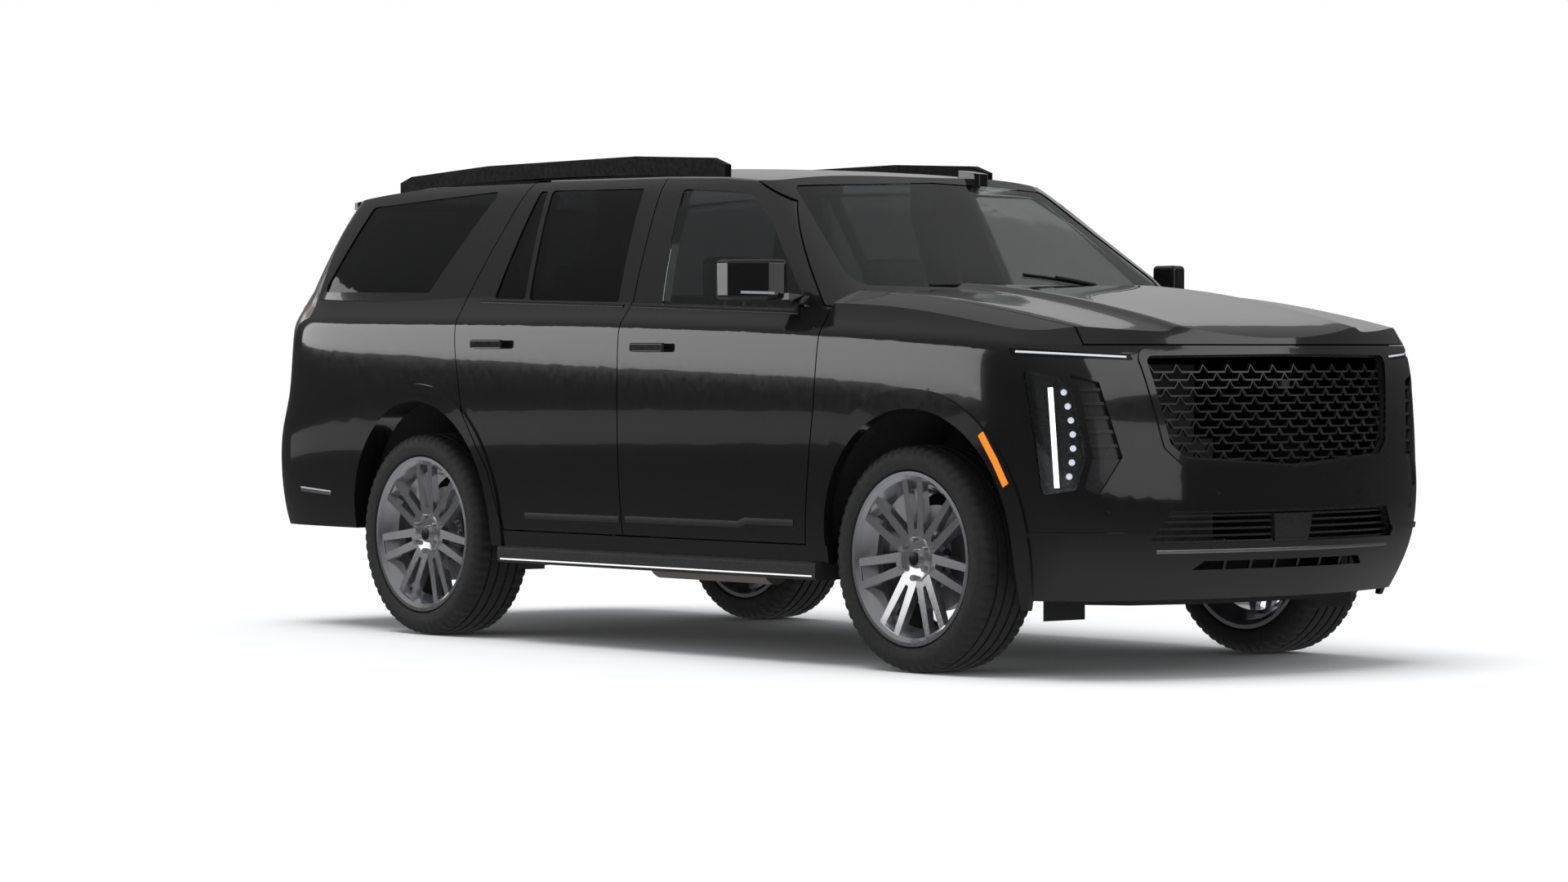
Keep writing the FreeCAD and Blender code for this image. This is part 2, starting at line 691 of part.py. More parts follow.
front_door = door_shape(FRONT_DOOR_SHARES, [FRONT_WINDOW_SHARES], front_hinge_x)
front_door = front_door.fuse(pull_handle(*[v * unit for v in HANDLE_HEIGHT_SHARES[0]]))
rear_door = door_shape(REAR_DOOR_SHARES, [REAR_WINDOW_SHARES, VENT_WINDOW_SHARES], rear_hinge_x)
rear_door = rear_door.cut(arch_cylinder(rear_axle_x, arch_radius + 14, -side_reach, -side_inner))
rear_door = rear_door.fuse(pull_handle(*[v * unit for v in HANDLE_HEIGHT_SHARES[1]]))
keep_pair("front_door", front_door)
keep_pair("rear_door", rear_door)
keep_pair("front_door_glass", glass_pane(FRONT_WINDOW_SHARES))
keep_pair(
    "rear_door_glass", Part.Compound([glass_pane(REAR_WINDOW_SHARES), glass_pane(VENT_WINDOW_SHARES)])
)

# Mirrors on the front doors
MIRROR_SHARES = [
    (0.900, -1.020), (0.790, -1.165), (0.800, -1.190), (0.880, -1.196), (1.000, -1.100), (1.030, -1.010),
]
mirror_head = prism(lengths(MIRROR_SHARES), "z", 1.375 * unit, 1.528 * unit, 0, 0.020 * unit)
mirror_head = mirror_head.makeFillet(0.018 * unit, [
    e for e in mirror_head.Edges
    if abs(e.BoundBox.ZMin - e.BoundBox.ZMax) < 1e-3
])
mirror_foot = prism(
    lengths([(-0.930, 1.345), (-1.060, 1.375), (-1.060, 1.400), (-0.920, 1.385)]), "x",
    1.000 * unit, 1.075 * unit,
)
mirror_foot = mirror_foot.cut(Part.Compound(upper_body.Solids + lower_body.Solids))
mirror = mirror_head.fuse(mirror_foot)
keep_pair("mirror", mirror)

# Body panels

tailgate_x = -2.252 * unit
tail_space = cross_prism(TAILGATE_SHARES, -front_end - overrun, tailgate_x + half_gap, half_gap)
lid_space = box(-front_end, tailgate_x + half_gap, -0.72 * unit, 0.72 * unit, 1.80 * unit, 3 * unit)
windscreen_cut = cross_prism(WINDSCREEN_SHARES, 0.3 * unit, 1.7 * unit, 0, 40)
quarter_cut = side_prism(QUARTER_WINDOW_SHARES, 0, 22)
tail_lamp_shares = [
    (-0.812, 0.975), (-0.935, 0.985), (-0.960, 1.420), (-0.860, 1.700), (-0.800, 1.806),
    (-0.722, 1.806), (-0.815, 1.420), (-0.832, 1.120),
]
lamp_front_x = -2.265 * unit
tail_lamp_cut = cross_prism(tail_lamp_shares, -front_end, lamp_front_x)

def lid_hinge(x, z, y, run, root):
    """The lid's half of a hinge, the body's half down to or along to its root, and their pocket.

    Run is 1 where the lid lies ahead of its hinge, else -1.
    """
    radius = size("lid_hinge_radius")
    half = size("hinge_half") / 2
    thin = radius * 0.8
    centre = V(x, y, z)
    deep = 5 * radius
    ahead = sorted((x, x + run * deep * 1.6))
    pin = post(radius * 0.6, centre - V(0, 2 * half, 0), Y_AXIS, 4 * half)
    arms = []
    for low in (y - 2 * half, y + half):
        eye = post(radius, V(x, low, z), Y_AXIS, half)
        down = box(x - thin, x + thin, low, low + half, z - deep, z)
        along = box(ahead[0], ahead[1], low, low + half, z - deep - radius, z - deep + radius)
        rise_x = x + run * deep * 1.6
        rise_low, rise_high = sorted((rise_x, rise_x - run * 12))
        riser = box(rise_low, rise_high, low, low + half, z - deep, z)
        arms.append(eye.fuse([down, along, riser]))
    lid_half = pin.fuse(arms)
    inner = half - size("running_gap")
    sleeve = post(radius, centre - V(0, inner, 0), Y_AXIS, 2 * inner)
    if run > 0:
        block = box(x - thin, x + thin, y - inner, y + inner, root, z)
    else:
        block = box(x, root, y - inner, y + inner, z - thin, z + thin * 0.5)
    bore = post(radius * 0.6 + 0.05, centre - V(0, 3 * half, 0), Y_AXIS, 6 * half)
    pocket = box(
        min(x - run * 2 * radius, x + run * deep * 1.7), max(x - run * 2 * radius, x + run * deep * 1.7),
        y - 2.4 * half, y + 2.4 * half, z - deep - 2.2 * radius, z + radius + 1.5,
    )
    return lid_half, sleeve.fuse(block).cut(bore), pocket


bonnet_x = BONNET_PLAN_SHARES[0][0] * unit
bonnet_hinge = (bonnet_x + half_gap - 20, 1.426 * unit, -0.360 * unit)
tail_hinge = (tailgate_x - half_gap + 20, 1.862 * unit, -0.300 * unit)
cowl_floor = 1.345 * unit
bonnet_arm, bonnet_root, bonnet_pocket = lid_hinge(*bonnet_hinge, 1, cowl_floor)
tail_arm, tail_root, tail_pocket = lid_hinge(*tail_hinge, -1, tail_hinge[0] + 60)
upper_frame = upper_wall.cut(windscreen_cut)
upper_frame = upper_frame.cut(both(quarter_cut))
for cut in door_cuts:
    upper_frame = upper_frame.cut(both(cut))
upper_frame = upper_frame.cut(tail_space)
upper_frame = upper_frame.cut(lid_space)
upper_frame = upper_frame.cut(both(tail_lamp_cut))
front_keep = box(-front_end, 1.207 * unit, -side_reach, side_reach, unit, 3 * unit).fuse(
    box(1.0 * unit, 1.5 * unit, -0.80 * unit, 0.80 * unit, 1.392 * unit, 3 * unit)
)
upper_frame = upper_frame.common(front_keep).cut(both(bonnet_pocket))
ROOF_SEAM_SHARE = 0.640
seam_y = ROOF_SEAM_SHARE * unit
roof_slice = box(-front_end, 0.80 * unit, -seam_y, seam_y, 1.70 * unit, 3 * unit)
roof_slice = roof_slice.cut(box(-front_end, -2.1 * unit, -seam_y, seam_y, 1.70 * unit, 1.80 * unit))
roof = upper_frame.common(roof_slice)

quarter = lower_body.common(side_prism(QUARTER_SHARES)).cut(lower_core)
quarter = quarter.fuse(rear_lip.common(side_prism(QUARTER_SHARES)))
quarter = quarter.cut(door_cuts[0]).cut(door_cuts[1]).cut(rear_arch).cut(front_arch)
quarter = quarter.cut(tail_space).cut(tail_lamp_cut)
right_half = box(-front_end, front_end, -side_reach, 0, 0, 3 * unit)
side_upper = upper_frame.common(right_half).cut(roof_slice)


def pillar(x_low, x_high, outline):
    return cross_prism(outline, x_low, x_high)


B_PILLAR_SHARES = [
    (-0.893, 0.395), (-0.893, 1.220), (-0.838, 1.255), (-0.832, 1.330), (-0.818, 1.400), (-0.730, 1.755),
    (-0.678, 1.788),
    (-0.6405, 1.875), (-0.6405, 1.760), (-0.765, 1.380), (-0.765, 1.200), (-0.850, 1.150), (-0.850, 0.395),
]
HINGE_PILLAR_SHARES = [
    (-0.955, 0.395), (-0.955, 1.240), (-0.850, 1.260), (-0.850, 0.395),
]
pillar_y = 0.962 * unit
b_pillar = pillar(rear_hinge_x - 50, rear_hinge_x + 80, B_PILLAR_SHARES)
hinge_plate = box(rear_hinge_x - 12, rear_hinge_x, -pillar_y, -0.880 * unit, 0.395 * unit, 1.215 * unit)
b_pillar = b_pillar.fuse(hinge_plate)
hinge_pillar = pillar(front_hinge_x - 6, front_hinge_x + 30, HINGE_PILLAR_SHARES)
side_frame = quarter.fuse([side_upper, b_pillar, hinge_pillar])
for height in HINGE_HEIGHT_SHARES:
    side_frame = side_frame.fuse(body_hinge(front_hinge_x, height * unit, 0.950 * unit))
    side_frame = side_frame.fuse(body_hinge(rear_hinge_x, height * unit, pillar_y - 2))
keep("side_frames", both(side_frame))

windscreen = glass_shell.common(cross_prism(WINDSCREEN_SHARES, 0.3 * unit, 1.7 * unit, -glass_gap, 40))
keep("windscreen", windscreen)
quarter_pane = glass_pane(QUARTER_WINDOW_SHARES, 22)
keep("quarter_glass", both(quarter_pane))

# Bonnet and front end

front_low = 1.205 * unit
bonnet_outline = lengths(BONNET_PLAN_SHARES)
bonnet = nose.cut(bonnet_low.common(nose_core)).common(
    prism(bonnet_outline, "z", front_low + half_gap, 2 * unit, -half_gap)
)
bonnet_cut = prism(bonnet_outline, "z", front_low - half_gap, 2 * unit, half_gap)

recess = size("bumper_recess")
frame_proud = size("grille_frame_proud")
frame_width = size("grille_frame_width")
grille_cut = cross_prism(GRILLE_SHARES, 2.30 * unit, front_end, 0, 26)
intake_cut = cross_prism(LOWER_INTAKE_SHARES, 2.30 * unit, front_end, 0, 14)
lamp_cut = corner_prism(LAMP_SHARES, 2.20 * unit, 2.70 * unit, 0, 12)
slim_cut = corner_prism(SLIM_LAMP_SHARES, 2.20 * unit, 2.75 * unit, 0, 4)
vent_cut = corner_prism(CORNER_VENT_SHARES, 2.20 * unit, 2.70 * unit, 0, 8)
fender = nose_shell.fuse(front_lip).common(side_prism(FENDER_SHARES, -0.01))
fender = fender.cut(door_cuts[0]).cut(front_arch).cut(bonnet_cut)
fender = fender.cut(box(unit, bonnet_x - half_gap, -0.815 * unit, 0, unit, 2 * unit))
fender = fender.cut(slim_cut).cut(lamp_cut)
hem = nose.common(lower_flange)
hem_strip = side_prism(FRONT_DOOR_SHARES, half_gap + 16).cut(side_prism(FRONT_DOOR_SHARES, half_gap - 1))
hem_end = box(0.9 * unit, 1.4 * unit, -side_reach, 0, 0.46 * unit, 1.5 * unit)
fender = fender.cut(hem.common(hem_strip).common(hem_end))
keep("front_fenders", both(fender))

def set_back(shape_outer_inset, thickness, cutter):
    """A slab that follows the nose, set back from its face."""
    outer = stacked_solid(LOWER_SHARES, LOWER_ROUND_SHARES, shape_outer_inset, shape_outer_inset)
    deep = shape_outer_inset + thickness
    inner = stacked_solid(LOWER_SHARES, LOWER_ROUND_SHARES, deep, deep)
    return outer.cut(inner).common(cutter)


nose_layer = lower_outer.cut(stacked_solid(LOWER_SHARES, LOWER_ROUND_SHARES, recess, recess))
frame_layer = stacked_solid(LOWER_SHARES, LOWER_ROUND_SHARES, -frame_proud, -frame_proud).cut(
    stacked_solid(LOWER_SHARES, LOWER_ROUND_SHARES, lip_depth, lip_depth)
)
frame_ring = cross_prism(GRILLE_SHARES, 2.30 * unit, front_end, frame_width, 40).cut(grille_cut)
lip_strip = cross_prism(mirrored(BUMPER_LIP_SHARES), 2.10 * unit, front_end)
recess_room = cross_prism(mirrored(BUMPER_RECESS_SHARES), 2.05 * unit, front_end)
bumper = nose_shell.cut(nose_layer.common(recess_room))
bumper = bumper.fuse(frame_layer.common(frame_ring)).fuse(frame_layer.common(lip_strip))
bumper = bumper.fuse(both(front_lip))
bumper = bumper.common(side_prism(FRONT_BUMPER_SHARES, -0.01, 0, -side_reach, side_reach))
bumper = bumper.cut(cross_prism(mirrored(AIR_SLOT_SHARES), 2.30 * unit, front_end))
fins = Part.Compound([
    box(2.30 * unit, front_end, (share - 0.006) * unit, (share + 0.006) * unit, 0.380 * unit, 0.440 * unit)
    for share in AIR_SLOT_FIN_SHARES
])
bumper = bumper.fuse(set_back(recess, recess, fins))
bumper = bumper.common(box(0, front_end, -side_reach, side_reach, 0, front_low - half_gap))
bumper = bumper.cut(both(front_arch))
bumper = bumper.cut(grille_cut).cut(intake_cut)
for cut in (lamp_cut, slim_cut, vent_cut):
    bumper = bumper.cut(both(cut))
keep("front_bumper", bumper)


def mesh_row(row):
    """One row of the grille's mesh: a bar that dips under each cell, half a cell aside in each row."""
    pitch = size("mesh_pitch")
    rise = size("mesh_rise")
    thick = size("mesh_bar")
    z = size("mesh_bottom") + row * rise
    start = -(MESH_CELLS / 2 + row % 2 / 2) * pitch
    line = []
    for cell in range(MESH_CELLS + 1):
        for share, height in MESH_CELL_SHARES:
            line.append((start + (cell + share) * pitch, z + height * rise))
    closed = line + [(y, height - thick) for y, height in reversed(line)]
    return cross_prism([(y / unit, height / unit) for y, height in closed], 2.30 * unit, front_end)


MESH_CELLS = 11
MESH_ROWS = 13
MESH_CELL_SHARES = [(0.0, 0.94), (0.16, 0.0), (0.84, 0.0)]
rim_width = 9
grille_hole = cross_prism(GRILLE_SHARES, 2.30 * unit, front_end, -seat_gap, 26)
grille_rim = grille_hole.cut(cross_prism(GRILLE_SHARES, 2.20 * unit, 3 * unit, -seat_gap - rim_width, 20))
mesh_slab = set_back(14, 12, grille_hole)
rows = []
for row in range(MESH_ROWS):
    rows.extend(mesh_slab.common(mesh_row(row)).Solids)
grille_panel = mesh_slab.common(grille_rim).fuse(rows)
intake_hole = cross_prism(LOWER_INTAKE_SHARES, 2.30 * unit, front_end, -seat_gap, 14)
intake_rim = intake_hole.cut(cross_prism(LOWER_INTAKE_SHARES, 2.20 * unit, 3 * unit, -seat_gap - 8, 8))
intake_slab = set_back(24, 10, intake_hole)
intake_panel = set_back(18, 16, intake_hole).common(intake_rim)
intake_bars = Part.Compound([
    box(2 * unit, front_end, -unit, unit, (share - 0.004) * unit, (share + 0.004) * unit)
    for share in (0.518, 0.543, 0.568, 0.590)
])
sensor_plate = set_back(12, 22, intake_hole).common(
    cross_prism([(-0.085, 0.485), (0.085, 0.485), (0.100, 0.592), (-0.100, 0.592)], 2 * unit, front_end)
)
intake_panel = intake_panel.fuse([intake_slab.common(intake_bars), sensor_plate])
lamp_hole = corner_prism(LAMP_SHARES, 2.20 * unit, 2.70 * unit, -seat_gap, 12)
lamp_room = corner_prism(LAMP_SHARES, 2.10 * unit, 2.80 * unit, -seat_gap - 7, 8)
lamp_deep = set_back(3 + LENS_THICKNESS + seat_gap, 56, lamp_hole)
lamp_inner = set_back(30, 40, lamp_hole)
lamp_bar_room = set_back(16, 40, lamp_hole)
lamp = lamp_deep.cut(lamp_room).fuse(lamp_deep.common(lamp_inner))
glow = [corner_prism(LAMP_BAR_SHARES, 2.20 * unit, 2.70 * unit)]
for step in range(LAMP_BEADS):
    share = 0.735 + step * 0.050
    across = 0.862 + 0.040 * math.sin(math.pi * (share - 0.640) / 0.420) - 0.010
    bead = corner_prism(
        [(across - 0.014, share - 0.018), (across + 0.014, share - 0.018), (across + 0.014, share + 0.018),
         (across - 0.014, share + 0.018)], 2.20 * unit, 2.70 * unit, 0, 8,
    )
    glow.append(bead)
lamp = lamp.fuse(lamp_bar_room.common(Part.Compound(glow)))
slim_hole = corner_prism(SLIM_LAMP_SHARES, 2.20 * unit, 2.75 * unit, -seat_gap, 4)
slim_lamp = set_back(3, 26, slim_hole)
lens = set_back(3, LENS_THICKNESS, lamp_hole)
keep("headlamps", both(Part.Compound(lamp.Solids + slim_lamp.Solids)))
keep("headlamp_lenses", both(lens))
vent_hole = corner_prism(CORNER_VENT_SHARES, 2.20 * unit, 2.70 * unit, -seat_gap, 8)
vent = set_back(20, 14, vent_hole)
vent_front = set_back(8, 20, vent_hole)
vent = vent.fuse(vent_front.common(box(unit, front_end, -side_reach, 0, 0.660 * unit, 0.795 * unit)))
vent_slats = Part.Compound([
    box(unit, front_end, -side_reach, 0, (share - 0.006) * unit, (share + 0.006) * unit)
    for share in (0.845, 0.895, 0.945, 0.995, 1.045)
])
vent = vent.fuse(vent_front.common(vent_slats))
vents = both(solids_of(vent, SLIVER_SHARE))
keep("grilles", Part.Compound(grille_panel.Solids + intake_panel.Solids + vents.Solids))

# Tail end

tail_prism = cross_prism(TAILGATE_SHARES, -front_end - overrun, tailgate_x - half_gap, -half_gap)
tail_window_cut = cross_prism(TAIL_WINDOW_SHARES, -front_end, -2.1 * unit, 0, 40)
tail_inner = cross_prism(TAILGATE_SHARES, -front_end - overrun, tailgate_x - half_gap, -half_gap - 16)
tailgate = lower_body.common(tail_inner).cut(lower_core)
tailgate = tailgate.fuse([
    upper_body.common(tail_inner).cut(upper_inside),
    lower_body.common(tail_prism).cut(lower_flange),
    upper_body.common(tail_prism).cut(upper_flange.common(roof_flange)),
])
SPOILER_SHARES = [(-2.256, -0.700), (-2.300, -0.696), (-2.400, -0.480), (-2.425, 0.0), (-2.400, 0.480),
                  (-2.300, 0.696), (-2.256, 0.700)]
roof_slab = roof_top.cut(
    under_surface(crowned_poles(ROOF_LINE_SHARES, ROOF_CROSS_SHARES, 0.030 * unit), roof_height / 2)
)
spoiler = roof_slab.common(prism(lengths(SPOILER_SHARES), "z", 1.6 * unit, 3 * unit, 0, 0.02 * unit))
tailgate = tailgate.cut(tail_window_cut).fuse(spoiler)
tail_glass = glass_shell.common(cross_prism(TAIL_WINDOW_SHARES, -front_end, -2.1 * unit, -glass_gap, 40))
tail_lamp = lower_outer.common(below_belt).fuse(upper_body.common(upper_outer))
lamp_shell = lower_body.fuse(upper_body).cut(
    stacked_solid(LOWER_SHARES, LOWER_ROUND_SHARES, 60, 60).fuse(
        stacked_solid(UPPER_SHARES, UPPER_ROUND_SHARES, 44, 44))
)
tail_lamp = lamp_shell.common(
    cross_prism(tail_lamp_shares, -front_end, lamp_front_x - seat_gap, -seat_gap)
)
keep("tail_lamps", both(tail_lamp))
rear_bumper_room = side_prism(REAR_BUMPER_SHARES, -0.01, 0, -side_reach, side_reach)
rear_bumper = lower_body.common(rear_bumper_room).cut(lower_core)
rear_bumper = rear_bumper.cut(both(rear_arch))
keep("rear_bumper", rear_bumper)


bonnet = bonnet.fuse([bonnet_arm, left_of(bonnet_arm)])
above_cowl_floor = box(0, front_end, -side_reach, side_reach, cowl_floor, 3 * unit)
cowl_pocket = both(bonnet_pocket.common(above_cowl_floor))
tailgate = tailgate.fuse([tail_arm, left_of(tail_arm)])
roof = roof.cut(both(tail_pocket)).fuse([tail_root, left_of(tail_root)])
pod = prism(lengths(POD_SHARES), "z", 1.840 * unit, 1.935 * unit, 0, 0.020 * unit)
pod = pod.common(under_surface(
    crowned_poles(ROOF_LINE_SHARES, ROOF_CROSS_SHARES, -POD_PROUD), roof_height / 2
))
roof = roof.fuse(pod.cut(upper_inside))
keep("roof_panel", roof)
keep("bonnet", bonnet)
keep("tailgate", tailgate)
keep("tailgate_glass", tail_glass)

# Air dam under the bumper and deflector flaps before the front wheels

rail_height = 0.110 * unit
rail_low = 0.330 * unit
rail_width = 0.075 * unit
rail_y = 0.440 * unit
rear_rail_x = -2.450 * unit
front_rail_x = 2.480 * unit
dam_plan = [(2.200, 0.700), (2.400, 0.560), (2.480, 0.300), (2.500, 0.0)]
dam_outer = [(x, -y) for x, y in dam_plan] + [(x, y) for x, y in reversed(dam_plan[:-1])]
dam_inner = [(x - 0.008, y) for x, y in reversed(dam_outer)]
dam = prism(lengths(dam_outer + dam_inner), "z", 0.262 * unit, 0.335 * unit)
dam_top = [(2.200, 0.700), (2.400, 0.700), (2.560, 0.300), (2.590, 0.0)]
dam_ledge = [(x, -y) for x, y in dam_top] + [(x, y) for x, y in reversed(dam_top[:-1])]
dam_ledge = prism(lengths(dam_ledge), "z", 0.327 * unit, 0.335 * unit).common(nose_clear)
flap = box(2.196 * unit, 2.204 * unit, -0.800 * unit, -0.600 * unit, 0.205 * unit, 0.335 * unit)
flap_back = box(2.180 * unit, 2.204 * unit, -0.960 * unit, -0.560 * unit, 0.327 * unit, 0.335 * unit)
air_dam = dam.fuse(dam_ledge).fuse([flap, left_of(flap)]).fuse([flap_back, left_of(flap_back)])
under_nose = box(0, 2.5 * unit, -0.81 * unit, 0.81 * unit, 0, 0.335 * unit)
rail_room = box(
    0, front_rail_x + seat_gap, -rail_y - seat_gap, -rail_y + rail_width + seat_gap,
    rail_low - seat_gap, unit,
)
air_dam = air_dam.common(nose_clear.fuse(under_nose)).cut([rail_room, left_of(rail_room)])
keep("air_dam", air_dam)

# Floor, firewall and wheelhouses

floor_top = size("floor_height")
floor_low = floor_top - size("floor_thickness")
floor = box(-2.50 * unit, 1.14 * unit, -0.845 * unit, 0.845 * unit, floor_low, floor_top)
for x in (front_arch_x, rear_axle_x):
    for hand in (-1, 1):
        low = size("liner_inner_y") * hand
        high = 0.99 * unit * hand
        floor = floor.cut(arch_cylinder(x, size("liner_radius"), min(low, high), max(low, high)))
firewall = box(1.100 * unit, 1.140 * unit, -0.845 * unit, 0.845 * unit, floor_low, 1.265 * unit)
firewall = firewall.fuse(box(1.100 * unit, 1.140 * unit, -0.79 * unit, 0.79 * unit, unit, 1.330 * unit))
cowl = bonnet_top.common(
    prism(lengths([(1.130, -0.790), (1.386, -0.790), (1.386, 0.790), (1.130, 0.790)]), "z", unit, 2 * unit)
)
cowl = cowl.common(box(unit, 1.5 * unit, -unit, unit, 1.330 * unit, 1.380 * unit))


def wheelhouse(x, outer_y):
    radius = size("liner_radius")
    wall = size("liner_wall")
    inner_y = size("liner_inner_y")
    ring = arch_cylinder(x, radius, -outer_y, -inner_y).cut(
        arch_cylinder(x, radius - wall, -outer_y - wall, -inner_y - wall)
    )
    keep_above = box(x - unit, x + unit, -outer_y, -inner_y, 0.460 * unit, 2 * unit)
    return ring.common(keep_above)


front_house = wheelhouse(front_arch_x, 1.000 * unit).common(nose_clear)
rear_house = wheelhouse(rear_axle_x, 0.950 * unit).common(core_clear)
cowl = cowl.cut(upper_frame).cut(cowl_pocket).fuse([bonnet_root, left_of(bonnet_root)])
underbody = floor.common(core_clear).fuse([firewall, cowl])
keep("underbody", underbody)
keep("wheelhouses", Part.Compound([both(front_house), both(rear_house)]))

# Running gear


def rail(hand):
    """One hollow side rail of the frame."""
    low, high = sorted((hand * (rail_y - rail_width), hand * rail_y))
    rail_top = rail_low + rail_height
    wall = size("rail_wall")
    outer = box(rear_rail_x, front_rail_x, low, high, rail_low, rail_top)
    inner = box(
        rear_rail_x - wall, front_rail_x + wall, low + wall, high - wall, rail_low + wall, rail_top - wall
    )
    return outer.cut(inner)


CROSS_MEMBER_SHARES = [2.300, 1.000, 0.100, -0.800, -1.950, -2.380]
chassis = rail(1).fuse(rail(-1))
cross_reach = rail_y - rail_width + size("rail_wall") / 2
for share in CROSS_MEMBER_SHARES:
    member = box(
        (share - 0.04) * unit, (share + 0.04) * unit, -cross_reach, cross_reach, rail_low + 0.010 * unit,
        rail_low + 0.090 * unit,
    )
    chassis = chassis.fuse(member)

# The receiver is a square tube for a standard tow bar, with its pin's bore across it.
receiver_inner = size("receiver_inner") / 2
receiver_half = receiver_inner + size("receiver_wall")
receiver_z = 0.385 * unit
receiver_x = -2.600 * unit
receiver_end = -2.340 * unit
receiver = box(
    receiver_x, receiver_end, -receiver_half, receiver_half, receiver_z - receiver_half,
    receiver_z + receiver_half,
)
receiver_room = box(
    receiver_x, receiver_end - 0.005 * unit, -receiver_inner, receiver_inner, receiver_z - receiver_inner,
    receiver_z + receiver_inner,
)
pin_start = V(receiver_x + size("receiver_pin_inset"), -receiver_half, receiver_z)
pin_bore = post(size("receiver_pin_radius"), pin_start, Y_AXIS, 2 * receiver_half)
receiver = receiver.cut([receiver_room, pin_bore])
tube_reach = rail_y - size("rail_wall") / 1.2
hitch_tube = box(
    -2.420 * unit, receiver_end - 0.005 * unit, -tube_reach, tube_reach, rail_low + 0.020 * unit,
    rail_low + 0.095 * unit,
)
BODY_MOUNT_SHARES = [0.90, -0.50, -2.10]
mounts = []
for share in BODY_MOUNT_SHARES:
    for hand in (-1, 1):
        low, high = sorted((hand * (rail_y - rail_width), hand * rail_y))
        mount_low = rail_low + rail_height - size("mount_sink")
        mounts.append(
            box((share - 0.05) * unit, (share + 0.05) * unit, low, high, mount_low, floor_low)
        )
keep("chassis_frame", chassis.fuse([receiver, hitch_tube] + mounts))

engine = box(
    1.260 * unit, 1.960 * unit, -0.300 * unit, 0.300 * unit, rail_low + 0.09 * unit, 1.130 * unit
)
engine_flank = box(unit, 2.2 * unit, -unit, -0.20 * unit, 0.85 * unit, 2 * unit)
engine_carrier = box(
    1.55 * unit, 1.65 * unit, -rail_y + rail_width, rail_y - rail_width, 0.420 * unit, 0.438 * unit
)
keep("engine_block", engine.cut([engine_flank, left_of(engine_flank)]).fuse(engine_carrier))

tank = box(-0.700 * unit, 0.600 * unit, 0.470 * unit, 0.780 * unit, 0.290 * unit, floor_low)
keep("fuel_tank", tank.makeFillet(0.03 * unit, long_edges(tank)))

PIPE_SHARE = 0.032
pipe_y = -0.240 * unit
pipe_z = rail_low + (0.010 - PIPE_SHARE) * unit - seat_gap
pipe = post(PIPE_SHARE * unit, V(-2.30 * unit, pipe_y, pipe_z), X_AXIS, 3.58 * unit)
muffler = post(0.070 * unit, V(-0.72 * unit, pipe_y, pipe_z), X_AXIS, 0.74 * unit)
downpipe = post(0.030 * unit, V(1.290 * unit, pipe_y, pipe_z), Z_AXIS, 0.112 * unit)
keep("exhaust", pipe.fuse([muffler, downpipe]))


# Wheels. Each is drawn for the right side about the origin, where outwards is -Y.


def wheel_profile(points):
    """A solid of revolution about the wheel's own axle, from (out, radius) points."""
    wire = Part.makePolygon([V(0, out, radius) for out, radius in points + points[:1]])
    return Part.Face(wire).revolve(V(0, 0, 0), Y_AXIS, 360)


def extruded(points, run):
    """A polygon of vectors, closed and extruded along a vector."""
    return Part.Face(Part.makePolygon(points + points[:1])).extrude(run)


rim_half = size("rim_width") / 2
rim_radius = size("rim_radius")
bead = size("bead_radius")
wall = size("rim_wall")
flange = size("rim_flange")
hub_out = -(rim_half - size("hub_face_inset"))
hub_in = hub_out + size("hub_depth")
hub_radius = size("hub_radius")
drop = 0.262 * unit
rim = wheel_profile([
    (-rim_half, rim_radius), (-rim_half, rim_radius - 14), (-rim_half + 16, bead - wall),
    (-rim_half + 70, drop - wall + 8), (rim_half - 60, drop - wall), (rim_half - 14, bead - wall - 4),
    (rim_half, rim_radius - 16), (rim_half, rim_radius), (rim_half - flange, rim_radius),
    (rim_half - flange, bead), (rim_half - 44, bead), (rim_half - 60, drop), (-rim_half + 70, drop + 8),
    (-rim_half + 44, bead), (-rim_half + flange, bead), (-rim_half + flange, rim_radius),
])
cap_radius = size("cap_radius")
cap_face = hub_out - size("cap_depth")
hub = wheel_profile([
    (hub_out, 0), (hub_out, cap_radius), (hub_out - 6, hub_radius - 10), (hub_out + 10, hub_radius),
    (hub_in, hub_radius), (hub_in, 0),
])
cap = wheel_profile([
    (cap_face, 0), (cap_face, cap_radius - 4), (hub_out, cap_radius), (hub_out + 2, cap_radius),
    (hub_out + 2, 0),
])
disc_radius = size("disc_radius")
disc_thickness = size("disc_thickness")
disc_y = hub_in + size("disc_offset")
disc = wheel_profile([
    (hub_in, 0), (hub_in, 0.075 * unit), (disc_y, 0.080 * unit), (disc_y, disc_radius),
    (disc_y + disc_thickness, disc_radius), (disc_y + disc_thickness, 0),
])

